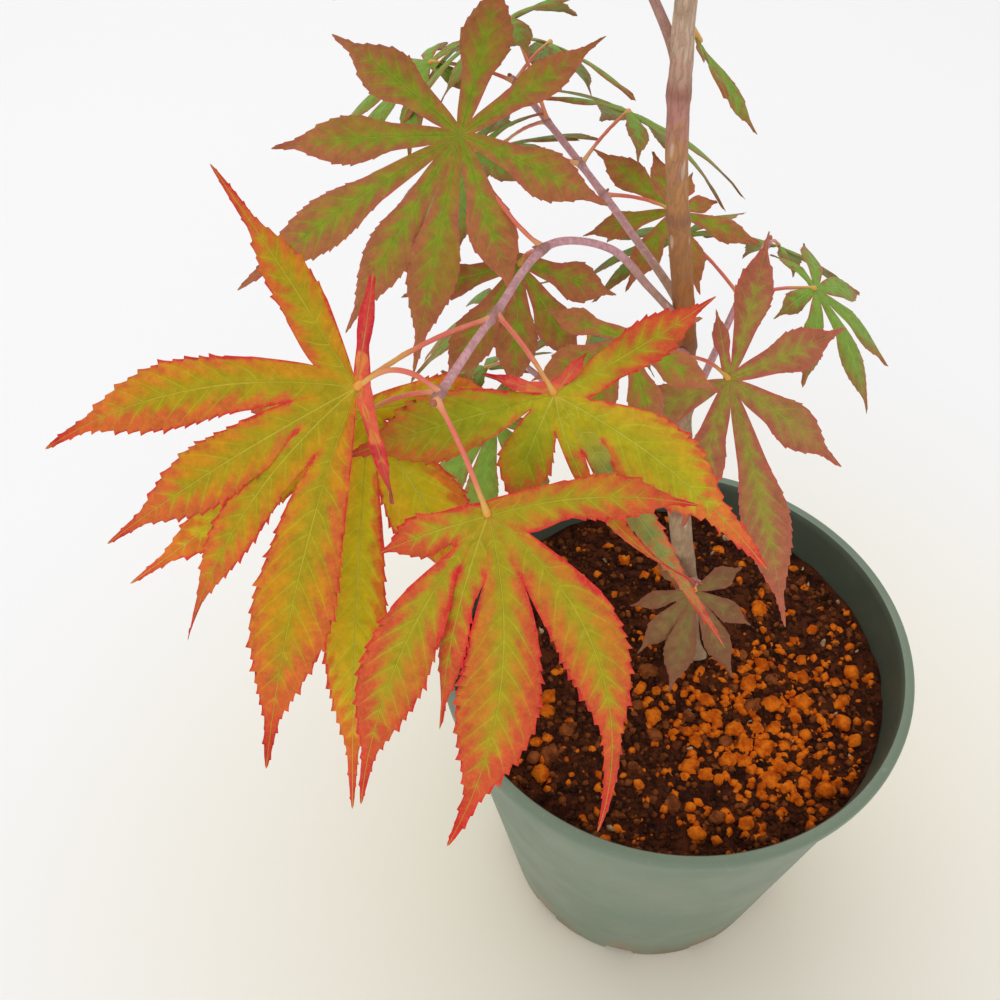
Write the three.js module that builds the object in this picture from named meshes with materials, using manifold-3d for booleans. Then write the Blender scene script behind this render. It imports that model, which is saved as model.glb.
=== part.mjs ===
// A young Japanese maple in a round plastic nursery pot, in millimetres, +Z up.
// The origin is the centre of the pot's flat underside. The tree's best side faces -Y.
// The trunk leans a little to -X. Boughs leave it, and each mass of foliage is one solid: a stem,
// its leaf stalks and its lobed leaves, joined. The solids keep a gap of 0.3 mm to each other.

import * as THREE from "three";
import { mergeVertices } from "three/addons/utils/BufferGeometryUtils.js";
import Module from "manifold-3d";

const wasm = await Module();
wasm.setup();

// Driving dimensions
const GAP = 0.3;
const POT = {
  rim: 105,
  foot: 70,
  height: 94,
  wall: 1.4,
  floor: 2.2,
  lip: 2.6,
  lipOut: 1.1,
  edge: 0.6,
  footEdge: 1,
  sides: 40,
};
const NOTCH = { count: 10, width: 7.5, height: 4.5, depth: 9, first: -103 };
const SOIL = { below: 10, crown: 1.2, shoulder: 12, middle: 14, footEdge: 4, sides: 24 };
const GROUND = POT.height - SOIL.below;
const GRAINS = {
  places: 260,
  seed: 5,
  stray: 1.3,
  radius: 1.9,
  spread: 0.5,
  length: 1.25,
  height: 0.95,
  tilt: 0.5,
  wallGap: 3,
  trunkGap: 8,
  few: 0.25,
  patch: [19, -17],
  patchSize: 17,
};
const TRUNK = {
  foot: [4, 5],
  top: 352,
  lean: -36,
  straighten: 8,
  towards: -6,
  zigzag: 0.7,
  internodes: 7,
  footRadius: 2.5,
  tipRadius: 0.9,
  flare: 1.9,
  flareHeight: 4,
  sides: 10,
  steps: 22,
};
const LEAF = {
  rib: 0.5,
  boss: 0.9,
  sinus: 0.24,
  wide: 0.48,
  narrow: 0.78,
  narrowShare: 0.42,
  short: 20,
  wideGap: 120,
  room: 1.8,
};
const STALK = { root: 0.62, end: 0.5, steps: 3, sides: 3 };
const STEM = { sides: 4, steps: 4 };
const BOUGH = { sides: 7, steps: 5 };
const TOUCHING = 1e-6;

// Colours of the pieces
const GREENISH = 0x7d7a3a;
const OLIVE_RED = 0xa8602f;
const BRONZE = 0x8a5a3a;
const BARK = 0x8f7a72;

const radians = THREE.MathUtils.degToRad;
const point = (xyz) => new THREE.Vector3(...xyz);

// Solids

// A closed geometry as a solid that can be joined and cut.
function solidOf(geometry) {
  const bare = geometry.clone();
  bare.deleteAttribute("normal");
  bare.deleteAttribute("uv");
  const merged = mergeVertices(bare, 1e-4);
  return new wasm.Manifold(
    new wasm.Mesh({
      numProp: 3,
      vertProperties: new Float32Array(merged.attributes.position.array),
      triVerts: new Uint32Array(merged.index.array),
    }),
  );
}

// The solid's largest body, so that a loose scrap or a sealed hollow is dropped.
function oneBody(solid) {
  const bodies = solid.decompose();
  return bodies.reduce((best, body) => (body.volume() > best.volume() ? body : best));
}

function joined(solids) {
  return oneBody(solids.reduce((all, next) => all.add(next)));
}

function geometryOf(solid) {
  const mesh = solid.getMesh();
  const geometry = new THREE.BufferGeometry();
  geometry.setAttribute("position", new THREE.BufferAttribute(mesh.vertProperties, 3));
  geometry.setIndex(new THREE.BufferAttribute(mesh.triVerts, 1));
  geometry.computeVertexNormals();
  return geometry;
}

// Limbs

// A round limb: a cylinder whose rings are carried along a curve between two shares of its length, and
// sized by radiusAt(share).
function limb(curve, from, to, radiusAt, sides, steps) {
  const rings = new THREE.CylinderGeometry(1, 1, 1, sides, steps);
  const run = curve.getPointAt(1).sub(curve.getPointAt(0)).normalize();
  const level = Math.abs(run.z) > 0.85 ? new THREE.Vector3(0, 1, 0) : new THREE.Vector3(0, 0, 1);
  const at = rings.attributes.position;
  for (let i = 0; i < at.count; i++) {
    const share = from + (to - from) * (Math.round((at.getY(i) + 0.5) * steps) / steps);
    const tangent = curve.getTangentAt(share);
    const across = level.clone().cross(tangent).normalize();
    const place = curve.getPointAt(share);
    place.addScaledVector(tangent.clone().cross(across), at.getX(i) * radiusAt(share));
    place.addScaledVector(across, at.getZ(i) * radiusAt(share));
    at.setXYZ(i, place.x, place.y, place.z);
  }
  return solidOf(rings);
}

const tapered = (root, end) => (share) => root + (end - root) * share;
const through = (...spots) => new THREE.CatmullRomCurve3(spots.map((s) => (s.isVector3 ? s : point(s))));

// The trunk's centre line: a lean that straightens as it rises, with a slight bend at each node.
class TrunkLine extends THREE.Curve {
  getPoint(t) {
    const bend = TRUNK.zigzag * Math.sin(Math.PI * TRUNK.internodes * t);
    const x = TRUNK.foot[0] + TRUNK.lean * t + TRUNK.straighten * t * t + bend;
    const y = TRUNK.foot[1] + TRUNK.towards * t * t;
    return new THREE.Vector3(x, y, GROUND + (TRUNK.top - GROUND) * t);
  }
}
const trunkLine = new TrunkLine();

// The trunk's centre at a height.
function onTrunk(height) {
  return trunkLine.getPoint((height - GROUND) / (TRUNK.top - GROUND));
}

// The trunk's radius along its length: an even taper, with a root flare at the soil.
function trunkRadius(extra) {
  const length = TRUNK.top - GROUND;
  return (share) =>
    tapered(TRUNK.footRadius, TRUNK.tipRadius)(share) +
    TRUNK.flare * Math.exp((-share * length) / TRUNK.flareHeight) +
    extra;
}

// Leaves

// The blade's axes: "face" looks away from its upper side, "fall" runs down its slope, "right" lies across.
function bladeAxes(azimuth, elevation) {
  const [a, e] = [radians(azimuth), radians(elevation)];
  const face = point([Math.cos(e) * Math.cos(a), Math.cos(e) * Math.sin(a), Math.sin(e)]);
  const fall = point([Math.sin(e) * Math.cos(a), Math.sin(e) * Math.sin(a), -Math.cos(e)]);
  return { face, fall, right: face.clone().cross(fall) };
}

// A lobe's rib, walked outward in short steps from the leaf's centre. Its heading starts at "turn" from the
// fall line and swings by "sway", and it bends away from the face by "droop". The edges roll by "twist".
function ribOf(centre, axes, lobe, shares) {
  const STEPS = 12;
  const [turn, length, , droop = 30, sway = 0, twist = 0] = lobe;
  const frameAt = (s) => {
    const heading = radians(turn + sway * s);
    const bend = radians(droop * s);
    const along = axes.fall.clone().multiplyScalar(Math.cos(heading));
    along.addScaledVector(axes.right, Math.sin(heading));
    const across = axes.right.clone().multiplyScalar(Math.cos(heading));
    across.addScaledVector(axes.fall, -Math.sin(heading));
    const tangent = along.clone().multiplyScalar(Math.cos(bend)).addScaledVector(axes.face, -Math.sin(bend));
    const up = along.multiplyScalar(Math.sin(bend)).addScaledVector(axes.face, Math.cos(bend));
    const roll = radians(twist * s);
    const side = across.clone().multiplyScalar(Math.cos(roll)).addScaledVector(up, Math.sin(roll));
    up.multiplyScalar(Math.cos(roll)).addScaledVector(across, -Math.sin(roll));
    return { tangent, side, up };
  };
  const walk = [centre.clone()];
  for (let k = 0; k < STEPS; k++) {
    const { tangent } = frameAt((k + 0.5) / STEPS);
    walk.push(walk[k].clone().addScaledVector(tangent, length / STEPS));
  }
  return shares.map((s) => {
    const k = Math.min(STEPS - 1, Math.floor(s * STEPS));
    const at = walk[k].clone().lerp(walk[k + 1], s * STEPS - k);
    return { at, ...frameAt(s) };
  });
}

// A palmate leaf as a thin closed solid: ribs stand proud of both sides, and the edges are sharp.
function leafSolid(centre, axes, lobes, thicken) {
  const spots = [];
  const faces = [];
  const spot = (at) => spots.push(at) - 1;
  const raised = (rib, height) => spot(rib.at.clone().addScaledVector(rib.up, height));
  const rib = LEAF.rib * thicken;
  const top = spot(centre.clone().addScaledVector(axes.face, rib));
  const under = spot(centre.clone().addScaledVector(axes.face, -LEAF.boss * thicken));
  const around = [...lobes].sort((a, b) => a[0] - b[0]);
  const sinusAt = around.map((lobe) => ribOf(centre, axes, lobe, [LEAF.sinus])[0].at);
  // The notch on a lobe's right is shared with the next lobe. A wide gap draws it in to the centre.
  const sinuses = around.map((lobe, i) => {
    const j = (i + 1) % around.length;
    const opening = (around[j][0] - lobe[0] + 360) % 360;
    const middle = sinusAt[i].clone().lerp(sinusAt[j], 0.5);
    if (opening <= LEAF.wideGap) return spot(middle);
    const heading = radians(lobe[0] + opening / 2);
    const inward = axes.fall.clone().multiplyScalar(Math.cos(heading));
    inward.addScaledVector(axes.right, Math.sin(heading));
    return spot(centre.clone().addScaledVector(inward, LEAF.boss * 2));
  });
  around.forEach((lobe, i) => {
    const short = lobe[1] < LEAF.short;
    const shares = short ? [LEAF.wide] : [LEAF.wide, LEAF.narrow];
    const sections = ribOf(centre, axes, lobe, shares);
    const end = spot(ribOf(centre, axes, lobe, [1])[0].at);
    const before = sinuses[(i + around.length - 1) % around.length];
    const half = [lobe[2] / 2, (lobe[2] / 2) * LEAF.narrowShare];
    const edge = (section, offset) => spot(section.at.clone().addScaledVector(section.side, offset));
    const right = [sinuses[i], ...sections.map((section, k) => edge(section, half[k]))];
    const left = [before, ...sections.map((section, k) => edge(section, -half[k]))];
    const above = [top, ...sections.map((section) => raised(section, rib))];
    const below = [under, ...sections.map((section) => raised(section, -rib))];
    const patch = (middle, one, other) => {
      for (let k = 0; k < sections.length; k++) {
        faces.push([middle[k], one[k], one[k + 1]], [middle[k], one[k + 1], middle[k + 1]]);
        faces.push([middle[k], other[k + 1], other[k]], [middle[k], middle[k + 1], other[k + 1]]);
      }
      const last = sections.length;
      faces.push([middle[last], one[last], end], [middle[last], end, other[last]]);
    };
    patch(above, left, right);
    patch(below, right, left);
  });
  const geometry = new THREE.BufferGeometry().setFromPoints(spots);
  geometry.setIndex(faces.flat());
  return solidOf(geometry);
}

// Masses of foliage

// A stalk that leaves its stem, arches by "lift" and ends in the leaf's centre.
function stalkSolid(from, centre, lift) {
  const crest = from.clone().lerp(centre, 0.5).add(new THREE.Vector3(0, 0, lift));
  const curve = new THREE.QuadraticBezierCurve3(from, crest, centre);
  return limb(curve, 0, 1, tapered(STALK.root, STALK.end), STALK.sides, STALK.steps);
}

// Numbers between -1 and 1 from a seed.
function seeded(seed) {
  let state = seed;
  return () => {
    state = (state * 1664525 + 1013904223) % 4294967296;
    return (state / 4294967296) * 2 - 1;
  };
}

// The solids made so far, and whether a new one keeps clear of them all.
const standing = [];
const isClear = (solid) => standing.every((other) => solid.intersect(other).volume() < TOUCHING);

// A mass: a stem along its shoot's curve with its leaves. A leaf that would touch another piece is skipped.
function foliage(shoot) {
  const from = shoot.bare ? shoot.bare + GAP / shoot.curve.getLength() : 0;
  const kept = [limb(shoot.curve, from, 1, tapered(...shoot.radii), STEM.sides, STEM.steps)];
  for (const { at, centre, face, lobes, lift = 2 } of shoot.leaves) {
    const axes = bladeAxes(...face);
    const stalk = stalkSolid(shoot.curve.getPointAt(at), centre, lift);
    const room = leafSolid(centre, axes, lobes, LEAF.room);
    if (isClear(room) && isClear(stalk)) kept.push(stalk, leafSolid(centre, axes, lobes, 1));
  }
  return oneBody(joined(kept).subtract(aroundTrunk));
}

// Pot, soil and trunk
const pieces = [];

function addPiece(name, solid, color, roughness) {
  const material = new THREE.MeshStandardMaterial({ color, roughness, metalness: 0 });
  const mesh = new THREE.Mesh(geometryOf(solid), material);
  mesh.name = name;
  pieces.push(mesh);
  standing.push(solid);
}

// The radius of the pot's outer wall at a height, under its lip.
function wallAt(height) {
  const foot = POT.foot / 2;
  return foot + ((POT.rim / 2 - POT.lipOut - foot) * height) / POT.height;
}

// A solid turned about the pot's axis from a profile of [radius, height].
function turned(profile, sides) {
  const outline = profile.map(([r, z]) => new THREE.Vector2(r, z));
  return solidOf(new THREE.LatheGeometry(outline, sides).rotateX(Math.PI / 2));
}

// A tapering pot with a small outward lip, and drainage notches round its foot.
function potSolid() {
  const rim = POT.rim / 2;
  const foot = POT.foot / 2;
  const under = POT.height - POT.lip;
  const profile = [
    [0, 0],
    [foot - POT.footEdge, 0],
    [foot, POT.footEdge],
    [wallAt(under), under],
    [rim, under + POT.edge],
    [rim, POT.height - POT.edge],
    [rim - POT.edge, POT.height],
    [wallAt(POT.height) - POT.wall, POT.height],
    [wallAt(POT.floor) - POT.wall, POT.floor],
    [0, POT.floor],
  ];
  let solid = turned(profile, POT.sides);
  for (let i = 0; i < NOTCH.count; i++) {
    const slot = new THREE.BoxGeometry(NOTCH.depth, NOTCH.width, NOTCH.height * 2);
    slot.translate(foot, 0, 0);
    slot.rotateZ(radians(NOTCH.first + (i * 360) / NOTCH.count));
    solid = solid.subtract(solidOf(slot));
  }
  return solid;
}

// The larger grains of the potting mix. They lie like the seeds of a sunflower, strayed a little by a seeded
// rule, thickest round one patch and clear of the trunk.
function grainsOnSoil() {
  const random = seeded(GRAINS.seed);
  const goldenAngle = Math.PI * (3 - Math.sqrt(5));
  const reach = wallAt(GROUND) - POT.wall - GRAINS.wallGap - GRAINS.radius;
  const grains = [];
  for (let i = 0; i < GRAINS.places; i++) {
    const out = reach * Math.sqrt((i + 0.5) / GRAINS.places);
    const x = out * Math.cos(i * goldenAngle) + GRAINS.stray * random();
    const y = out * Math.sin(i * goldenAngle) + GRAINS.stray * random();
    const radius = GRAINS.radius + GRAINS.spread * random();
    const [turn, tilt, chance] = [Math.PI * random(), GRAINS.tilt * random(), random()];
    const fromPatch = Math.hypot(x - GRAINS.patch[0], y - GRAINS.patch[1]) / GRAINS.patchSize;
    const likely = GRAINS.few + (1 - GRAINS.few) * Math.exp(-(fromPatch ** 2));
    const fromTrunk = Math.hypot(x - TRUNK.foot[0], y - TRUNK.foot[1]);
    if ((chance + 1) / 2 < likely && fromTrunk > GRAINS.trunkGap) grains.push({ x, y, radius, turn, tilt });
  }
  return grains;
}

// A grain as an angular lump, half sunk in the soil.
function grainSolid({ x, y, radius, turn, tilt }) {
  const lump = new THREE.OctahedronGeometry(radius);
  lump.scale(GRAINS.length, 1, GRAINS.height);
  lump.rotateY(tilt);
  lump.rotateZ(turn);
  lump.translate(x, y, GROUND);
  return solidOf(lump);
}

// The soil fills the pot to just under its rim, clear of the wall and of the notches.
function soilSolid() {
  const inside = (height) => wallAt(height) - POT.wall - GAP;
  const low = POT.floor + GAP;
  const aboveNotch = NOTCH.height + 2;
  const brim = GROUND - SOIL.crown;
  const profile = [
    [0, low],
    [inside(low) - SOIL.footEdge, low],
    [inside(aboveNotch), aboveNotch],
    [inside(brim), brim],
    [inside(brim) - SOIL.shoulder, GROUND - SOIL.crown / 4],
    [SOIL.middle, GROUND],
    [0, GROUND],
  ];
  return joined([turned(profile, SOIL.sides), ...grainsOnSoil().map(grainSolid)]);
}

// The trunk, cut flat just over the soil.
function trunkSolid(extra) {
  const block = POT.foot / 2;
  const below = new THREE.BoxGeometry(block, block, block);
  below.translate(TRUNK.foot[0], TRUNK.foot[1], GROUND + GAP - block / 2);
  const whole = limb(trunkLine, 0, 1, trunkRadius(extra), TRUNK.sides, TRUNK.steps);
  return whole.subtract(solidOf(below));
}
const aroundTrunk = trunkSolid(GAP);

addPiece("pot", potSolid(), 0x5c7467, 0.5);
addPiece("soil", soilSolid(), 0x3a2418, 0.95);
addPiece("trunk", trunkSolid(0), 0x8a7262, 0.75);

// A shoot: a bough that leaves the trunk's side, and the foliage that its tip carries on into.
// Where it has no bare stretch, the foliage starts at the trunk.
function addShoot(shoot) {
  if (shoot.bare) {
    const bough = limb(shoot.curve, 0, shoot.bare, tapered(...shoot.radii), BOUGH.sides, BOUGH.steps);
    addPiece("bough_" + shoot.name, oneBody(bough.subtract(aroundTrunk)), BARK, 0.75);
  }
  addPiece("foliage_" + shoot.name, foliage(shoot), shoot.color, 0.55);
}

// The sprays that show in front, posed leaf by leaf. "at" is the share of the stem where a leaf's stalk
// starts, "face" is where the blade's upper side looks, by azimuth and elevation. A lobe is
// [turn, length, width, droop, sway, twist], turned from the fall line of its blade.
const FRONT = {
  name: "front_left",
  color: OLIVE_RED,
  curve: through(onTrunk(184), [-15, 1, 195], [-22, -2, 205], [-31, -7, 210], [-40, -28, 214], [-47, -47, 217]),
  bare: 0.45,
  radii: [1.15, 0.6],
  leaves: [
    {
      at: 0.76,
      centre: point([-56.5, -48, 220]),
      face: [-98, 47],
      lift: 3,
      lobes: [
        [-143, 34, 6.5, 10, 6],
        [-93, 44, 9.5, 15, 38],
        [-57, 41, 9, 22, 5],
        [-45, 42.5, 7, 25, 28, 25],
        [-15, 50, 11.5, 10, 12],
        [28, 17, 4, 50, -20, 60],
        [176, 14, 4, -10, 0, 70],
      ],
    },
    {
      at: 0.98,
      centre: point([-56.4, -40.2, 208.2]),
      face: [-90, 50],
      lobes: [
        [-54, 41, 8, 15, -2],
        [-5, 54.5, 9.5, 12, 4],
        [30, 28, 12, 20],
        [100, 20, 7.5, 40],
        [-98, 24, 7, 30],
      ],
    },
    {
      at: 1,
      centre: point([-40.6, -58.5, 208.4]),
      face: [-88, 49],
      lift: 3,
      lobes: [
        [105, 27, 6.5, 10, -28],
        [54, 46, 9.5, 12, -73],
        [14, 43, 11.5, 8, -45],
        [-22, 28.5, 5, 20, 16, 50],
        [-42, 41, 9.5, 14, 34],
        [-77, 15, 6, 25, 10],
      ],
    },
    {
      at: 0.74,
      centre: point([-32, -40, 211]),
      face: [-90, 50],
      lobes: [
        [-76, 29, 10, -8, 6],
        [-104, 10, 4, -20, 0, 40],
        [-26, 17, 8, 30, 10],
        [8, 33, 3, 0, 60, 50],
        [35, 43, 5, 24, 0, 55],
        [63, 37, 11.5, 10, -24],
        [117, 25.5, 6.5, 10, 9, 20],
        [142, 7, 4, -20],
      ],
    },
    {
      at: 0.5,
      centre: point([-45, 6, 220]),
      face: [-95, 48],
      lift: -5,
      lobes: [
        [-130, 27, 8.5, 20, 8],
        [168, 27, 8.5, 15, 6],
        [126, 27, 6, 15, 6],
        [-87, 30, 8, 15, 4],
        [-57, 43, 8.5, 20, 4],
        [-31, 35, 8, 20, 4],
        [-9, 37, 8.5, 20],
        [22, 26, 8, 20],
        [70, 25, 8, 25],
      ],
    },
    {
      at: 0.52,
      centre: point([-36, 0, 200.5]),
      face: [-85, 52],
      lobes: [
        [-80, 20, 6, 25],
        [-36, 24, 7.5, 25],
        [-6, 22, 7.5, 25],
        [28, 20, 7, 25],
        [72, 17, 7, 25],
      ],
    },
  ],
};

addShoot(FRONT);

// Two short shoots straight off the trunk's front.
const MIDDLE = {
  name: "middle",
  color: BRONZE,
  curve: through(onTrunk(178), [-8, 1.4, 180], [-7.5, -1, 181]),
  radii: [0.9, 0.8],
  leaves: [
    {
      at: 1,
      centre: point([-20, -15, 198]),
      face: [-95, 55],
      lobes: [
        [-110, 14, 5, 25],
        [-65, 16, 6, 25],
        [-22, 17, 6, 25],
        [22, 17, 6, 25],
        [66, 17, 6, 25],
        [112, 13, 5, 25],
      ],
    },
    {
      at: 0.9,
      centre: point([-1.5, -8, 183]),
      face: [-84, 50],
      lift: 3,
      lobes: [
        [156, 27, 7, 15, 4],
        [-176, 12, 3, 10],
        [107, 23, 7.5, 15, 4],
        [54, 25, 8, 15, -8],
        [13, 43, 9, 12, -6],
        [-20, 26, 8, 20],
        [-72, 23, 8, 25],
      ],
    },
  ],
};
const LOW = {
  name: "low",
  color: BRONZE,
  curve: through(onTrunk(110), [1.5, 2.4, 114], [2.5, 0, 116]),
  radii: [0.9, 0.8],
  leaves: [
    {
      at: 0.95,
      centre: point([1, -4, 119]),
      face: [-95, 55],
      lobes: [
        [-73, 14, 4, 25],
        [-38, 18, 5.5, 25],
        [-10, 22, 7, 20],
        [28, 20, 6, 20],
        [63, 14, 5, 20],
        [120, 12, 5, 30],
        [-130, 12, 5, 30],
      ],
    },
  ],
};

addShoot(MIDDLE);
addShoot(LOW);

// The lobes of a leaf made by rule: [turn, length and width as shares of the leaf's size].
const LOBES = [
  [0, 1, 0.27],
  [38, 0.95, 0.26],
  [-38, 0.95, 0.26],
  [79, 0.8, 0.23],
  [-79, 0.8, 0.23],
  [128, 0.5, 0.16],
  [-128, 0.5, 0.16],
];

// A leaf by rule: its stalk leaves the stem along "heading", and its blade hangs outward from the end.
// Each pair is a middle value and how far it varies. Lengths are shares of the leaf's size.
const HANG = { stalk: [0.6, 0.12], sag: 0.06, swing: 14, tilt: [60, 9] };
const VARY = { turn: 6, length: 0.07, width: 0.1, droop: [32, 14], sway: 8, twist: 10 };
function ruledLeaf(at, from, heading, size, random) {
  const centre = from.clone().addScaledVector(heading, size * (HANG.stalk[0] + HANG.stalk[1] * random()));
  centre.z -= size * HANG.sag;
  const outward = THREE.MathUtils.radToDeg(Math.atan2(heading.y, heading.x)) + HANG.swing * random();
  const lobes = LOBES.map(([turn, length, width]) => [
    turn + VARY.turn * random(),
    size * length * (1 + VARY.length * random()),
    size * width * (1 + VARY.width * random()),
    VARY.droop[0] + VARY.droop[1] * random(),
    VARY.sway * random(),
    VARY.twist * random(),
  ]);
  return { at, centre, face: [outward, HANG.tilt[0] + HANG.tilt[1] * random()], lobes };
}

// A shoot by rule: a bough rises from the trunk and bends outward. Pairs of leaves stand on its outer
// stretch, each pair turned a quarter against the last, and they get smaller towards the tip.
const PAIR = { forward: 0.5, across: 0.85, above: 0.7, rise: 0.2, turn: 16, smaller: 0.3, size: 0.08 };
const LEVELLING = 0.4;
const LAST_PAIR = 0.02;
function ruledShoot(rule) {
  const { name, color, height, azimuth, rise, reach, bare, pairs, size, seed, radii, posed } = rule;
  const random = seeded(seed);
  const start = onTrunk(height);
  const [a, e] = [radians(azimuth), radians(rise)];
  const aim = (pitch) => point([Math.cos(a) * Math.cos(pitch), Math.sin(a) * Math.cos(pitch), Math.sin(pitch)]);
  const middle = start.clone().addScaledVector(aim(e), reach / 2);
  const end = middle.clone().addScaledVector(aim(e * LEVELLING), reach / 2);
  const curve = new THREE.QuadraticBezierCurve3(start, middle, end);
  const leaves = [...posed];
  for (let k = 0; k < pairs; k++) {
    const at = bare + (1 - bare) * ((k + 1) / pairs) - LAST_PAIR;
    const from = curve.getPointAt(at);
    const along = curve.getTangentAt(at);
    const across = along.clone().cross(new THREE.Vector3(0, 0, 1)).normalize();
    const above = across.clone().cross(along);
    for (const side of [1, -1]) {
      const turn = radians((k % 2 ? 90 : 0) + PAIR.turn * random());
      const heading = along.clone().multiplyScalar(PAIR.forward);
      heading.addScaledVector(across, side * Math.cos(turn) * PAIR.across);
      heading.addScaledVector(above, side * Math.sin(turn) * PAIR.above + PAIR.rise);
      const grown = size * (1 - (PAIR.smaller * k) / pairs) * (1 + PAIR.size * random());
      leaves.push(ruledLeaf(at, from, heading.normalize(), grown, random));
    }
  }
  return { name, color, curve, bare, radii, leaves };
}

// The leaf that shows behind the trunk, on the shoot at the back.
const BEHIND = {
  at: 0.44,
  centre: point([-8, 28, 190]),
  face: [-95, 66],
  lobes: [
    [-132, 21, 6.5, 15],
    [-162, 14, 4.5, 15],
    [160, 10, 4, 20],
    [-76, 17, 6, 25],
    [76, 17, 5.5, 20],
    [-28, 17, 6, 30],
    [22, 16, 6, 30],
    [112, 9, 4, 25],
  ],
};

// The leaf that hangs edge on high behind the trunk, with one long lobe to the right of it.
const HIGH = {
  at: 0.42,
  centre: point([-5.5, 39, 216.5]),
  face: [8, 38],
  lobes: [
    [-12, 20.5, 5, 5],
    [28, 9, 3.5, 10],
    [-50, 11, 4, 10],
    [70, 7, 3, 10],
    [-95, 7, 3, 10],
  ],
};

// The rest of the crown, shoot by shoot up the trunk.
const COMMON = { bare: 0.39, pairs: 3, radii: [1.2, 0.65], posed: [] };
const RULED = [
  { name: "back", height: 188, azimuth: 118, rise: 14, reach: 62, size: 33, color: GREENISH, posed: [BEHIND] },
  { name: "back_low", height: 157, azimuth: 62, rise: 34, reach: 44, size: 26, pairs: 2, color: GREENISH },
  { name: "side_low", height: 134, azimuth: 138, rise: 26, reach: 46, size: 28, pairs: 2, color: GREENISH },
  {
    name: "back_left",
    height: 233,
    azimuth: 130,
    rise: 50,
    reach: 78,
    size: 36,
    color: GREENISH,
    posed: [HIGH],
  },
  { name: "right", height: 256, azimuth: -12, rise: 52, reach: 84, size: 38, color: BRONZE },
  { name: "left", height: 268, azimuth: 192, rise: 48, reach: 76, size: 36, color: BRONZE },
  { name: "upper_back", height: 292, azimuth: 78, rise: 42, reach: 66, size: 34, color: OLIVE_RED },
  { name: "upper_front", height: 298, azimuth: 266, rise: 55, reach: 62, size: 34, color: OLIVE_RED },
  { name: "top", height: 351, azimuth: 30, rise: 88, reach: 46, size: 30, bare: 0, color: OLIVE_RED },
];
RULED.forEach((rule, i) => addShoot(ruledShoot({ ...COMMON, seed: 11 + 7 * i, ...rule })));

const root = new THREE.Group();
root.add(...pieces);
export default root;
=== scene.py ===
"""A young Japanese maple in a round plastic nursery pot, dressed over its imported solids.

Lengths are millimetres in the part's frame until put_mesh() writes them in metres. The tree grows by
the same rule, sizes and seeds as the solids. Each mass of foliage is replaced by a twig, its leaf
stalks and its toothed leaves. Bark, pot and soil get their relief here.
"""

import bmesh
import bpy
import numpy as np
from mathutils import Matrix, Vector


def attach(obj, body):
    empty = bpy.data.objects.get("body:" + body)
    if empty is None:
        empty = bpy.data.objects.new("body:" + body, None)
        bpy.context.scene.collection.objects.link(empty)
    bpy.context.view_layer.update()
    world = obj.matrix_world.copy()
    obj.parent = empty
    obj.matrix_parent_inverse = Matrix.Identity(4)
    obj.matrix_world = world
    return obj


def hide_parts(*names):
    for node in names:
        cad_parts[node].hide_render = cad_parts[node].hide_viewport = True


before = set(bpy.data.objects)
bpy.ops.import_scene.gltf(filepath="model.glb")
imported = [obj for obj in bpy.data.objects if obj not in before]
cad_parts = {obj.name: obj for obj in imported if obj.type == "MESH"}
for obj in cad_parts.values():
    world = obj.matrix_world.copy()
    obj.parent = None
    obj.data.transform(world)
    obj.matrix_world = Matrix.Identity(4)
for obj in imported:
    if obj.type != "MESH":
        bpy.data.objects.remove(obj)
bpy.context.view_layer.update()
scene = bpy.context.scene
scene.view_settings.view_transform = "Standard"
MM = 0.001

# The view: in front of the pot and above it, looking down
camera = bpy.data.objects.new("camera", bpy.data.cameras.new("camera"))
scene.collection.objects.link(camera)
camera.location = (-0.0391, -0.156, 0.3251)
camera.rotation_euler = (np.radians(90 - 49.4), 0, 0)
camera.data.lens = 44.64
camera.data.sensor_width = 36
camera.data.clip_start = 0.01
scene.camera = camera

# Sizes shared with the solids
POT = {"rim": 52.5, "foot": 35, "height": 94, "wall": 1.4, "floor": 2.2, "lip": 2.6, "lip_out": 1.1}
NOTCH = {"count": 10, "width": 7.5, "height": 4.5, "depth": 4.5, "first": -103}
GROUND = 84
GRAINS = {"places": 260, "seed": 5, "stray": 1.3, "radius": 1.9, "spread": 0.5, "length": 1.25}
GRAINS |= {"height": 0.95, "tilt": 0.5, "wall_gap": 3, "trunk_gap": 8, "few": 0.25}
GRAINS |= {"patch": (19, -17), "patch_size": 17}
TRUNK = {"foot": (4, 5), "top": 352, "lean": -36, "straighten": 8, "towards": -6, "zigzag": 0.7}
TRUNK |= {"internodes": 7, "foot_radius": 2.5, "tip_radius": 0.9, "flare": 1.9, "flare_height": 4}

# A leaf's sinuses lie at this share of its lobes' length, or at its boss where lobes open wider than WIDE_GAP
# degrees, and no further from its centre than SINUS_LIMIT of the shorter lobe. BOSS is the boss's radius, and
# side veins are VEIN_GAP apart.
SINUS = 0.24
SINUS_LIMIT = 0.36
WIDE_GAP = 120
BOSS = 0.9
VEIN_GAP = 3.1

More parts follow.
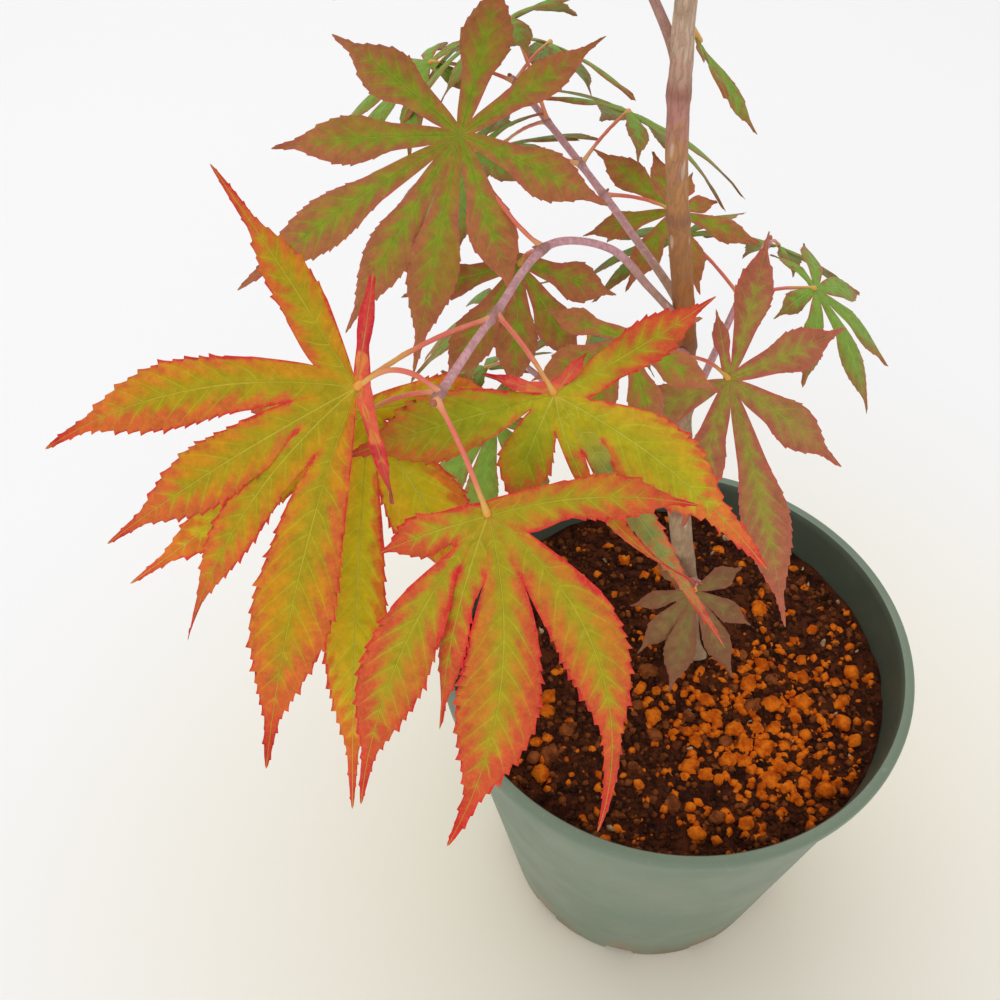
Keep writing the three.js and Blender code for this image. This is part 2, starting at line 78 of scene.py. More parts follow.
# The leaves that show in the photo, posed one by one. A leaf is (tint, share of the stem, centre, face as
# azimuth and elevation, lift of its stalk, lobes). A lobe is (turn, length, width, droop, sway, twist,
# look). Its look is a tint of its own, or slender: widest nearer the neck, with a longer tail. A folded
# lobe is slender too, and a crimson one is thin and curled.
LEFT = ("orange", 0.76, (-56.5, -48, 220), (-98, 47), 3, [
    (-143, 34, 6.5, 10, 6, 0, "slender"),
    (-93, 44, 9.5, 15, 38),
    (-57, 41, 9, 22, 5),
    (-45, 42.5, 7, 25, 28, 25),
    (-15, 50, 11.5, 10, 12),
    (28, 17, 4, 50, -20, 60, "crimson"),
    (176, 14, 4, -10, 0, 70, "crimson"),
])
LEFT_UNDER = ("lit", 0.98, (-56.4, -40.2, 208.2), (-90, 50), 2, [
    (-54, 41, 8, 15, -2),
    (-5, 54.5, 9.5, 12, 4),
    (30, 28, 12, 20),
    (100, 20, 7.5, 40),
    (-98, 24, 7, 30),
])
FRONT = ("red", 1, (-40.6, -58.5, 208.4), (-88, 49), 3, [
    (105, 27, 6.5, 10, -28),
    (54, 46, 9.5, 12, -73, 0, "slender"),
    (14, 43, 11.5, 8, -45),
    (-22, 28.5, 5, 20, 16, 50),
    (-42, 41, 9.5, 14, 34),
    (-77, 15, 6, 25, 10),
])
# Two lobes of this leaf take a darker olive look, which is painted shade for lobes that lie in shadow
RIGHT = ("olive", 0.74, (-32, -40, 211), (-90, 50), 2, [
    (-76, 29, 10, -8, 6, 0, "moss"),
    (-104, 10, 4, -20, 0, 40, "crimson"),
    (-26, 17, 8, 30, 10, 0, "moss"),
    (8, 33, 3, 0, 60, 50, "orange"),
    (35, 43, 5, 24, 0, 55, "folded"),
    (63, 37, 11.5, 10, -24, 0, "slender"),
    (117, 25.5, 6.5, 10, 9, 20, "red"),
    (142, 7, 4, -20, 0, 0, "crimson"),
])
UPPER = ("bronze", 0.5, (-45, 6, 220), (-95, 48), -5, [
    (-130, 27, 8.5, 20, 8),
    (168, 27, 8.5, 15, 6),
    (126, 27, 6, 15, 6),
    (-87, 30, 8, 15, 4),
    (-57, 43, 8.5, 20, 4),
    (-31, 35, 8, 20, 4),
    (-9, 37, 8.5, 20),
    (22, 26, 8, 20),
    (70, 25, 8, 25),
])
UPPER_SMALL = ("bronze", 0.52, (-36, 0, 200.5), (-85, 52), 2, [
    (-80, 20, 6, 25),
    (-36, 24, 7.5, 25),
    (-6, 22, 7.5, 25),
    (28, 20, 7, 25),
    (72, 17, 7, 25),
])
MIDDLE = ("bronze", 1, (-20, -15, 198), (-95, 55), 2, [
    (-110, 14, 5, 25),
    (-65, 16, 6, 25),
    (-22, 17, 6, 25),
    (22, 17, 6, 25),
    (66, 17, 6, 25),
    (112, 13, 5, 25),
])
FAR_RIGHT = ("dusky", 0.9, (-1.5, -8, 183), (-84, 50), 3, [
    (156, 27, 7, 15, 4),
    (-176, 12, 3, 10),
    (107, 23, 7.5, 15, 4),
    (54, 25, 8, 15, -8),
    (13, 43, 9, 12, -6),
    (-20, 26, 8, 20),
    (-72, 23, 8, 25),
])
LOW = ("shade", 0.95, (1, -4, 119), (-95, 55), 2, [
    (-73, 14, 4, 25),
    (-38, 18, 5.5, 25),
    (-10, 22, 7, 20),
    (28, 20, 6, 20),
    (63, 14, 5, 20),
    (120, 12, 5, 30),
    (-130, 12, 5, 30),
])
BEHIND = ("bronze", 0.44, (-8, 28, 190), (-95, 66), 2, [
    (-132, 21, 6.5, 15),
    (-162, 14, 4.5, 15),
    (160, 10, 4, 20),
    (-76, 17, 6, 25),
    (76, 17, 5.5, 20),
    (-28, 17, 6, 30),
    (22, 16, 6, 30),
    (112, 9, 4, 25),
])
HIGH_BACK = ("green", 0.42, (-5.5, 39, 216.5), (8, 38), 2, [
    (-12, 20.5, 5, 5, 0, 60),
    (28, 9, 3.5, 10),
    (-50, 11, 4, 10),
    (70, 7, 3, 10),
    (-95, 7, 3, 10),
])

# The rest of the crown: name, tint, height, azimuth, rise, reach, leaf size, pairs, bare share and
# posed leaves
RULED = [
    ("back", "green", 188, 118, 14, 62, 33, 3, 0.39, [BEHIND]),
    ("back_low", "green", 157, 62, 34, 44, 26, 2, 0.39, []),
    ("side_low", "green", 134, 138, 26, 46, 28, 2, 0.39, []),
    ("back_left", "green", 233, 130, 50, 78, 36, 3, 0.39, [HIGH_BACK]),
    ("right", "bronze", 256, -12, 52, 84, 38, 3, 0.39, []),
    ("left", "bronze", 268, 192, 48, 76, 36, 3, 0.39, []),
    ("upper_back", "orange", 292, 78, 42, 66, 34, 3, 0.39, []),
    ("upper_front", "olive", 298, 266, 55, 62, 34, 3, 0.39, []),
    ("top", "orange", 351, 30, 88, 46, 30, 3, 0, []),
]

# A ruled leaf's lobes: turn, and length and width over the leaf's size
LOBES = [(0, 1, 0.27), (38, 0.95, 0.26), (-38, 0.95, 0.26), (79, 0.8, 0.23), (-79, 0.8, 0.23)]
LOBES += [(128, 0.5, 0.16), (-128, 0.5, 0.16)]


# Small tools
def whole(lobe):
    """A lobe with the droop, sway, twist and look that it leaves out."""
    return (*lobe, *(30, 0, 0, "")[len(lobe) - 3:])


def unit(v):
    """The same directions at length 1."""
    return v / np.linalg.norm(v, axis=-1, keepdims=True)


def smooth(x, low, high):
    """0 below low, 1 above high, and 3x^2 - 2x^3 between them."""
    t = np.clip((x - low) / (high - low), 0, 1)
    return t * t * (3 - 2 * t)


def seeded(seed):
    """Numbers between -1 and 1 from a seed, by the rule of the solids."""
    state = seed
    while True:
        state = (state * 1664525 + 1013904223) % 4294967296
        yield state / 4294967296 * 2 - 1


def waves(u, v, seed, count=14, low=1.0, high=6.0):
    """Smooth relief between about -1 and 1: a sum of sines of u and v with seeded turns and phases.
    u is in whole turns, so the relief closes round a limb."""
    rng = np.random.default_rng(seed)
    total = np.zeros(np.broadcast(u, v).shape)
    for _ in range(count):
        turns = np.round(rng.uniform(-high, high))
        pitch = rng.uniform(low, high)
        total += np.sin(2 * np.pi * (turns * u + rng.uniform(0, 1)) + pitch * v + rng.uniform(0, 6.3))
    return total / np.sqrt(count)


# Curves, as arrays of close points
BEZIER_STEPS = 300
SPLINE_STEPS = 80


def bezier(a, b, c):
    """A quadratic Bezier curve: (1-t)^2 a + 2t(1-t) b + t^2 c."""
    t = np.linspace(0, 1, BEZIER_STEPS + 1)[:, None]
    return (1 - t) ** 2 * a + 2 * t * (1 - t) * b + t * t * c


def through(*spots):
    """A centripetal Catmull-Rom curve through the spots, with its ends carried on straight."""
    p = np.array(spots, float)
    p = np.vstack([2 * p[0] - p[1], p, 2 * p[-1] - p[-2]])
    t = np.linspace(0, 1, SPLINE_STEPS + 1)[:, None]
    runs = []
    for a, b, c, d in zip(p, p[1:], p[2:], p[3:]):
        k0, k1, k2 = (np.linalg.norm(y - x) ** 0.5 for x, y in ((a, b), (b, c), (c, d)))
        out = ((b - a) / k0 - (c - a) / (k0 + k1) + (c - b) / k1) * k1
        into = ((c - b) / k1 - (d - b) / (k1 + k2) + (d - c) / k2) * k1
        runs.append(b + out * t + (3 * (c - b) - 2 * out - into) * t**2 + (2 * (b - c) + out + into) * t**3)
    return np.vstack([runs[0]] + [run[1:] for run in runs[1:]])


def lengths(curve):
    """The length run at each point of a curve."""
    return np.concatenate([[0], np.cumsum(np.linalg.norm(np.diff(curve, axis=0), axis=1))])


def between(at, knots, points):
    """The points at some places on the straight lines between given points, which lie at the knots."""
    return np.stack([np.interp(at, knots, points[:, k]) for k in range(3)], axis=-1)


def places(curve, share):
    """The points at shares of a curve's length."""
    run = lengths(curve)
    return between(np.asarray(share) * run[-1], run, curve)


def heading_at(curve, share):
    """The unit tangent at a share of a curve's length."""
    return unit(places(curve, min(share + 0.004, 1)) - places(curve, max(share - 0.004, 0)))


def trunk_line(t):
    """The trunk's centre: a lean that straightens, and a slight bend at each node."""
    t = np.asarray(t, float)
    bend = TRUNK["zigzag"] * np.sin(np.pi * TRUNK["internodes"] * t)
    x = TRUNK["foot"][0] + TRUNK["lean"] * t + TRUNK["straighten"] * t * t + bend
    y = TRUNK["foot"][1] + TRUNK["towards"] * t * t
    return np.stack([x, y, GROUND + (TRUNK["top"] - GROUND) * t], axis=-1)


def on_trunk(height):
    """The trunk's centre at a height."""
    return trunk_line((height - GROUND) / (TRUNK["top"] - GROUND))


# Meshes
def put_mesh(name, points, faces, materials, index=None, attributes=None, uv=None):
    """A piece from arrays of points in mm and of faces with equally many corners. Attributes are per point,
    uv is per corner, and index is each face's material."""
    mesh = bpy.data.meshes.new(name)
    count, corners = faces.shape
    mesh.vertices.add(len(points))
    mesh.vertices.foreach_set("co", (np.asarray(points) * MM).astype(np.float32).ravel())
    mesh.loops.add(count * corners)
    mesh.loops.foreach_set("vertex_index", faces.astype(np.int32).ravel())
    mesh.polygons.add(count)
    mesh.polygons.foreach_set("loop_start", np.arange(0, count * corners, corners, dtype=np.int32))
    mesh.update(calc_edges=True)
    mesh.polygons.foreach_set("use_smooth", np.ones(count, bool))
    for skin in materials:
        mesh.materials.append(skin)
    if index is not None:
        mesh.polygons.foreach_set("material_index", np.asarray(index, np.int32))
    for key, values in (attributes or {}).items():
        kind, slot = ("FLOAT", "value") if values.ndim == 1 else ("FLOAT_VECTOR", "vector")
        field = mesh.attributes.new(key, kind, "POINT")
        field.data.foreach_set(slot, values.astype(np.float32).ravel())
    if uv is not None:
        layer = mesh.uv_layers.new(name="OFBake")
        layer.data.foreach_set("uv", uv.astype(np.float32).ravel())
    piece = bpy.data.objects.new(name, mesh)
    scene.collection.objects.link(piece)
    return piece


def hand_over(piece, slot, *nodes):
    """Puts a piece on the plant's one body, where it takes the place of the nodes given."""
    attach(piece, "root")
    if nodes:
        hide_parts(*nodes)


def numbered(n, m):
    """The numbers of the points of a grid of n rows and m columns."""
    return np.arange(n * m).reshape(n, m)


def joined(parts):
    """Several (points, faces, attributes) as one."""
    first = np.cumsum([0] + [len(points) for points, _, _ in parts])
    points = np.vstack([points for points, _, _ in parts])
    faces = np.vstack([faces + start for (_, faces, _), start in zip(parts, first)])
    attributes = {key: np.concatenate([part[2][key] for part in parts]) for key in parts[0][2]}
    return points, faces, attributes


# A direction that no limb starts along
ASKEW = (0.31, 0.87, 0.38)


def tube(curve, shares, radius, around, relief=None):
    """A limb: rings of radius(share) carried along a curve, closed by a point at each end. Each ring's
    axes are turned as little as possible from the last one's. relief(turn, mm run) adds to the radius."""
    centre = places(curve, shares)
    tangent = unit(np.gradient(centre, axis=0))
    side = np.empty_like(centre)
    first = np.cross(tangent[0], ASKEW)
    for i, t in enumerate(tangent):
        first = first - t * first.dot(t)
        first = first / np.linalg.norm(first)
        side[i] = first
    up = np.cross(tangent, side)
    turn = np.arange(around) / around
    run = shares * lengths(curve)[-1]
    r = np.broadcast_to(radius(shares)[:, None], (len(shares), around)).copy()
    if relief is not None:
        r += relief(turn[None, :], run[:, None])
    angle = 2 * np.pi * turn[None, :, None]
    rings = centre[:, None] + r[..., None] * (np.cos(angle) * side[:, None] + np.sin(angle) * up[:, None])
    n, m = r.shape
    grid = numbered(n, m)
    a, b = grid[:-1], grid[1:]
    quads = np.stack([a, np.roll(a, -1, 1), np.roll(b, -1, 1), b], axis=-1).reshape(-1, 4)
    low = np.stack([np.roll(grid[0], -1), grid[0], np.full(m, n * m)], axis=-1)
    high = np.stack([grid[-1], np.roll(grid[-1], -1), np.full(m, n * m + 1)], axis=-1)
    points = np.vstack([rings.reshape(-1, 3), centre[0], centre[-1] + tangent[-1] * r[-1].mean() * 0.6])
    tris = np.vstack([quads[:, :3], quads[:, [0, 2, 3]], low, high])
    along = np.concatenate([np.repeat(shares, m), [shares[0], shares[-1]]])
    return points, tris, {"share": along}


# Materials
def rgb(r, g, b):
    """A colour given in the 0-255 steps of a screen, as the linear values of a shader."""
    c = np.array([r, g, b]) / 255
    c = np.where(c <= 0.04045, c / 12.92, ((c + 0.055) / 1.055) ** 2.4)
    return (*(float(x) for x in c), 1)


class Wiring:
    """Short ways to add nodes to a tree. Of what is given for inputs, sockets are linked and values set."""

    def __init__(self, tree):
        self.tree = tree

    def add(self, kind, wires=(), **settings):
        node = self.tree.nodes.new(kind if kind.startswith("Node") else "ShaderNode" + kind)
        for key, value in settings.items():
            setattr(node, key, value)
        for key, value in dict(wires).items():
            if isinstance(value, bpy.types.NodeSocket):
                self.tree.links.new(value, node.inputs[key])
            else:
                node.inputs[key].default_value = value
        return node

    def math(self, operation, a, b=0.0, clamp=False):
        return self.add("Math", {0: a, 1: b}, operation=operation, use_clamp=clamp).outputs[0]

    def times(self, a, b):
        return self.math("MULTIPLY", a, b)

    def less(self, a, b, clamp=False):
        return self.math("SUBTRACT", a, b, clamp)

    def plus(self, total, *more):
        for value in more:
            total = self.math("ADD", total, value)
        return total

    def ramp(self, value, low, high, out_low=0.0, out_high=1.0):
        """A smooth step of value from low to high."""
        wires = {"Value": value, "From Min": low, "From Max": high, "To Min": out_low, "To Max": out_high}
        return self.add("MapRange", wires, interpolation_type="SMOOTHSTEP").outputs["Result"]

    def mix(self, factor, a, b, blend="MIX"):
        node = self.add("Mix", {0: factor, 6: a, 7: b}, data_type="RGBA", blend_type=blend)
        return node.outputs[2]

    def noise(self, scale, detail=3.0, roughness=0.55, vector=None):
        """Noise in the piece's own metres. A scale of 1000 has features of about a millimetre."""
        wires = {"Vector": vector or self.here(), "Scale": scale, "Detail": detail, "Roughness": roughness}
        return self.add("TexNoise", wires).outputs["Fac"]

    def stray(self, *noise):
        """Noise of this scale, detail and roughness, about zero."""
        return self.less(self.noise(*noise), 0.5)

    def here(self):
        return self.add("TexCoord").outputs["Object"]

    def field(self, name, output="Fac"):
        return self.add("Attribute", attribute_name=name).outputs[output]


def shader_group(name, inputs, build):
    """A node group with named inputs and outputs. build(wiring, inputs) returns its outputs by name."""
    tree = bpy.data.node_groups.new(name, "ShaderNodeTree")
    for key, value in inputs.items():
        kind = "NodeSocketColor" if isinstance(value, tuple) else "NodeSocketFloat"
        tree.interface.new_socket(key, in_out="INPUT", socket_type=kind).default_value = value
    w = Wiring(tree)
    made = build(w, w.add("NodeGroupInput").outputs)
    for key, socket in made.items():
        kind = "NodeSocketColor" if socket.type == "RGBA" else "NodeSocketFloat"
        tree.interface.new_socket(key, in_out="OUTPUT", socket_type=kind)
    w.add("NodeGroupOutput", made)
    return tree


def material(name, base, roughness=0.5, specular=0.5, height=None, bump=0.3, distance=0.0002):
    """A Principled material. base and height are functions of its wiring, and roughness may be one."""
    mat = bpy.data.materials.new(name)
    mat.use_nodes = True
    mat.node_tree.nodes.clear()
    w = Wiring(mat.node_tree)
    wires = {"Base Color": base(w), "Specular IOR Level": specular}
    wires["Roughness"] = roughness(w) if callable(roughness) else roughness
    if height is not None:
        bump_wires = {"Height": height(w), "Strength": bump, "Distance": distance}
        wires["Normal"] = w.add("Bump", bump_wires).outputs["Normal"]
    shader = w.add("BsdfPrincipled", wires)
    w.add("OutputMaterial", {"Surface": shader.outputs["BSDF"]})
    return mat


# Leaves. What each point knows is its place on its lobe (mm across and along, and its vein's number), its
# distance in from the margin, its share of the lobe's length, how much warmer its tint is, in mm of margin,
# and its leaf's own random number.
def on_blade(w, *wander):
    """A point's distance from the lobe's rib, and its distance from the nearest side vein, which is bowed
    and lies where the vein number is whole, in shares of the veins' spacing."""
    spot = w.add("SeparateXYZ", {0: w.field("blade", "Vector")})
    across = w.math("ABSOLUTE", spot.outputs[0])
    bowed = w.times(w.times(across, across), -0.02)
    return across, w.math("PINGPONG", w.plus(spot.outputs[2], bowed, *wander), 0.5)


def vein_lines(w, given):
    """The lobe's rib and side veins, which get thinner outward, a fine net, and the relief of all three."""
    across, off = on_blade(w, w.times(w.stray(260.0, 2.0), given["Wander"]))
    rib_width = w.times(given["Rib width"], w.ramp(w.field("share"), 0.0, 0.9, 1.0, 0.35))
    rib = w.less(1.0, w.math("DIVIDE", across, rib_width), clamp=True)
    near = w.times(off, VEIN_GAP)
    vein = w.less(1.0, w.math("DIVIDE", near, given["Vein width"]), clamp=True)
    fade = w.ramp(w.field("inset"), 0.3, 2.2)
    vein = w.times(vein, w.times(fade, w.ramp(w.noise(190.0, 2.0), 0.3, 0.5)))
    net = w.math("ABSOLUTE", w.stray(given["Net scale"], 2.0, 0.6))
    fine = w.ramp(net, 0.0, 0.05, 1.0, 0.0)
    relief = w.plus(w.ramp(near, 0.0, 1.3), w.times(rib, -1.4), w.times(fine, -0.12))
    return {"Rib": rib, "Veins": vein, "Net": fine, "Relief": relief}


VEIN_SIZES = {"Rib width": 0.24, "Vein width": 0.13, "Wander": 0.3, "Net scale": 900.0}
VEINS = shader_group("leaf veins", VEIN_SIZES, vein_lines)


def autumn_blend(w, given):
    """Middle colour by the rib, blade colour beyond it, margin colour inward of the edge, and rim colour at
    the teeth and tips. Noise moves the borders, so the colours run into each other in patches, and the
    green reaches furthest out along the side veins."""
    inset, share = w.field("inset"), w.field("share")
    across, from_vein = on_blade(w)
    patches, specks = w.stray(120.0, 4.0, 0.6), w.stray(700.0, 3.0, 0.65)
    blots = w.times(w.stray(330.0, 3.0, 0.6), 3.0)
    shift = w.plus(w.times(patches, given["Patches"]), w.times(specks, 1.4), blots, w.field("warm"))
    greener = w.times(w.less(0.25, from_vein), given["Vein pull"])
    toward_tip = w.plus(w.ramp(share, 0.12, 0.95, 1.0, -1.7), greener)
    spread = w.plus(across, w.times(w.less(shift, toward_tip), 0.6))
    inner = w.ramp(spread, 0.0, given["Middle width"], 1.0, 0.0)
    colour = w.mix(inner, given["Blade"], given["Middle"])
    tip = w.ramp(w.plus(share, w.times(patches, 0.4)), 0.6, 0.95)
    moved = w.plus(inset, shift, toward_tip)
    margin = w.math("MAXIMUM", w.ramp(moved, 0.0, given["Margin width"], 1.0, 0.0), tip)
    colour = w.mix(margin, colour, given["Margin"])
    edge = w.plus(inset, w.times(patches, 2.2), w.times(specks, 0.9))
    rim = w.ramp(edge, 0.0, given["Rim width"], 1.0, 0.0)
    rim = w.math("MAXIMUM", rim, w.ramp(share, 0.78, 0.95))
    colour = w.mix(rim, colour, given["Rim"])
    colour = w.mix(w.ramp(share, 0.0, 0.06, 0.7, 0.0), colour, given["Heart"])
    grain = w.plus(0.92, w.times(w.field("leaf"), 0.16), w.times(specks, 0.7), w.times(blots, 0.12))
    grey = w.add("CombineColor", {0: grain, 1: grain, 2: grain}).outputs[0]
    return {"Colour": w.mix(1.0, colour, grey, "MULTIPLY")}


COLOUR_INPUTS = ("Middle", "Blade", "Margin", "Rim", "Heart")
WIDTH_INPUTS = ("Middle width", "Margin width", "Rim width")
AUTUMN_INPUTS = dict.fromkeys(COLOUR_INPUTS, (0.5, 0.3, 0.1, 1.0)) | dict.fromkeys(WIDTH_INPUTS, 2.0)
AUTUMN_INPUTS |= {"Patches": 5.0, "Vein pull": 3.4}
AUTUMN = shader_group("autumn colours", AUTUMN_INPUTS, autumn_blend)


def leaf_material(name, looks, begins, vein_show):
    """One leaf finish: the autumn colours with veins drawn over them, a satin skin and quilted relief.
    Where there are two looks, the leaf's own runs into the lobe's between the shares given."""

    def base(w):
        share = w.field("share")
        moved = w.plus(share, w.times(w.stray(160.0), 0.3))
        outward = w.ramp(moved, *begins)
        colour, vein = None, None
        for *colours, widths in looks:
            autumn = w.add("Group", node_tree=AUTUMN)
            heart = tuple((a + b) / 2 for a, b in zip(colours[2], colours[4]))
            for key, value in zip(COLOUR_INPUTS + WIDTH_INPUTS, (*colours[:4], heart, *widths)):
                autumn.inputs[key].default_value = value
            seen = autumn.outputs["Colour"]
            colour = w.mix(outward, colour, seen) if colour else seen
            vein = w.mix(outward, vein, colours[4]) if vein else colours[4]
        lines = w.add("Group", node_tree=VEINS)
        for part, show in (("Net", 0.1), ("Veins", vein_show), ("Rib", 0.8)):
            colour = w.mix(w.times(lines.outputs[part], show), colour, vein)
        return colour

    def height(w):
        return w.add("Group", node_tree=VEINS).outputs["Relief"]

    def roughness(w):
        return w.ramp(w.noise(400.0), 0.3, 0.7, 0.5, 0.66)

    return material(name, base, roughness, 0.18, height, 0.6, 0.0002)


# A leaf's colours: middle, blade, margin, rim and veins, as a screen shows them, and the widths of the
# middle, the margin and the rim
LEAF_COLOURS = dict(
    orange=((166, 146, 8), (196, 134, 14), (208, 100, 42), (208, 50, 44), (216, 196, 60), (3.0, 2.6, 0.6)),
    lit=((206, 194, 18), (220, 180, 26), (226, 124, 40), (222, 60, 50), (234, 228, 96), (3.8, 2.0, 0.7)),
    red=((166, 150, 18), (192, 120, 32), (206, 82, 46), (214, 46, 46), (212, 194, 62), (2.5, 2.8, 0.8)),
    olive=((178, 170, 18), (202, 162, 30), (220, 116, 50), (224, 62, 56), (222, 216, 86), (3.8, 1.9, 0.6)),
    # A darker olive than olive, which is painted shade for lobes that lie in shadow
    moss=((150, 156, 12), (170, 146, 20), (200, 112, 42), (212, 64, 54), (204, 200, 66), (3.8, 1.6, 0.6)),
    bronze=((142, 158, 36), (168, 132, 52), (182, 112, 70), (194, 104, 84), (168, 186, 64), (2.3, 3.0, 0.5)),
    dusky=((158, 150, 56), (166, 126, 68), (176, 100, 74), (192, 94, 80), (190, 180, 84), (1.9, 3.2, 0.8)),
    shade=((134, 112, 62), (138, 100, 60), (134, 90, 60), (142, 88, 66), (160, 134, 84), (1.8, 2.4, 0.6)),
    green=((128, 166, 58), (134, 152, 58), (158, 126, 64), (178, 106, 70), (174, 192, 88), (3.2, 1.4, 0.5)),
    crimson=((228, 128, 64), (222, 90, 68), (214, 66, 62), (206, 42, 52), (232, 150, 88), (0.6, 0.9, 0.4)),
    folded=((140, 152, 78), (160, 150, 72), (200, 118, 66), (216, 66, 60), (190, 196, 120), (2.6, 1.8, 0.6)),
)


def paler(colour):
    """A colour as a leaf's underside has it, with less of its own and some grey-green."""
    return tuple(0.72 * c + 0.28 * grey for c, grey in zip(colour, (158, 160, 118)))


# Leaf finishes made so far, by name
finishes = {}


def finish_of(tint, own, under):
    """The finish of one side of a lobe: its leaf's tint, or that running into the lobe's own look."""
    names = [tint] if own == tint else [tint, own]
    label = " ".join(["leaf", *names] + ["underside"] * under)
    if label not in finishes:
        looks = []
        for *colours, widths in (LEAF_COLOURS[name] for name in names):
            looks.append([*(rgb(*(paler(c) if under else c)) for c in colours), widths])
        begins = (0.0, 0.12) if own == "crimson" else (0.1, 0.4)
        finishes[label] = leaf_material(label, looks, begins, 0.6 if under else 0.4)
    return finishes[label]


def blade_axes(azimuth, elevation):
    """face looks away from the blade's upper side, fall runs down its slope, and right lies across."""
    a, e = np.radians(azimuth), np.radians(elevation)
    face = np.array([np.cos(e) * np.cos(a), np.cos(e) * np.sin(a), np.sin(e)])
    fall = np.array([np.sin(e) * np.cos(a), np.sin(e) * np.sin(a), -np.cos(e)])
    return face, fall, np.cross(face, fall)


def rib_frames(centre, axes, lobe, s):
    """A lobe's rib from the leaf's centre: its heading swings by sway and it bends away from the face by
    droop, both evenly. Returns its places, tangents, and the side and up axes, rolled by twist."""
    face, fall, right = axes
    turn, length, _, droop, sway, twist, _ = lobe

    def axes_at(share):
        h, b, r = (np.radians(x * share + y)[:, None] for x, y in ((sway, turn), (droop, 0), (twist, 0)))
        along = np.cos(h) * fall + np.sin(h) * right
        across = np.cos(h) * right - np.sin(h) * fall
        up = np.sin(b) * along + np.cos(b) * face
        tangent = np.cos(b) * along - np.sin(b) * face
        return tangent, np.cos(r) * across + np.sin(r) * up, np.cos(r) * up - np.sin(r) * across

    fine = np.linspace(0, 1, 97)
    step = axes_at((fine[:-1] + fine[1:]) / 2)[0] * length / 96
    walk = np.vstack([np.zeros(3), np.cumsum(step, axis=0)]) + centre
    return (between(s, fine, walk), *axes_at(s))


def on_rib_at(centre, axes, lobe, share):
    """The place at a share of a lobe's rib."""
    return rib_frames(centre, axes, lobe, np.array([share]))[0][0]


# A lobe's columns from edge to edge. Its teeth: mm between them, each one's levels and their rise, the share
# of the lobe's length that has teeth, and where the last one ends.
COLUMNS = np.array([-1, -0.74, -0.38, 0, 0.38, 0.74, 1.0])
TOOTH = {"every": 1.6, "steps": np.array([0, 0.45, 0.78]), "rise": np.array([0, 0.42, 1.0])}
TOOTH |= {"along": 0.72, "last": 0.975}

# A lobe is widest at WIDEST of its length, or at SLENDER. Its own edge is free of its neighbours' from NECK
# on, and a curled lobe has CURLED of its width. At a share v of the way out from the rib it rises by
# RISE v (1 - v) of its half width, and droops by DROOP v^2 of it. It is BLADE thick, and at its rib RIB more.
WIDEST, SLENDER = 0.56, 0.45
NECK = 0.38
CURLED = 0.5
RISE, DROOP = 0.2, 0.1
BLADE, RIB = 0.3, 0.35

# How each tint of leaf is cut: the power of its necks, how far its sinuses reach out, and its teeth's depth
CUTS = {"bronze": (3.4, 0.56, 0.62), "dusky": (2.8, 0.6, 0.6), "green": (2.2, 0.74, 0.6)}
CUTS |= {"shade": (2.2, 0.7, 0.6)}
CUT = (1.6, 0.92, 1.0)


def lobe_outline(s, widest, neck):
    """Half the lobe's width over its greatest half width, for a lance with a narrow neck and a slender
    tail. It is sin^neck up to its widest share, then cos^1.5, but never less than 0.75 (1 - s)^0.62."""
    rising = np.sin(np.pi / 2 * np.clip(s / widest, 0, 1)) ** neck
    body = np.cos(np.pi / 2 * np.clip((s - widest) / 0.38, 0, 1)) ** 1.5
    tail = 0.75 * np.clip(1 - s, 0, 1) ** 0.62
    return np.where(s < widest, rising, np.maximum(body, tail * smooth(s, widest, 0.75)))


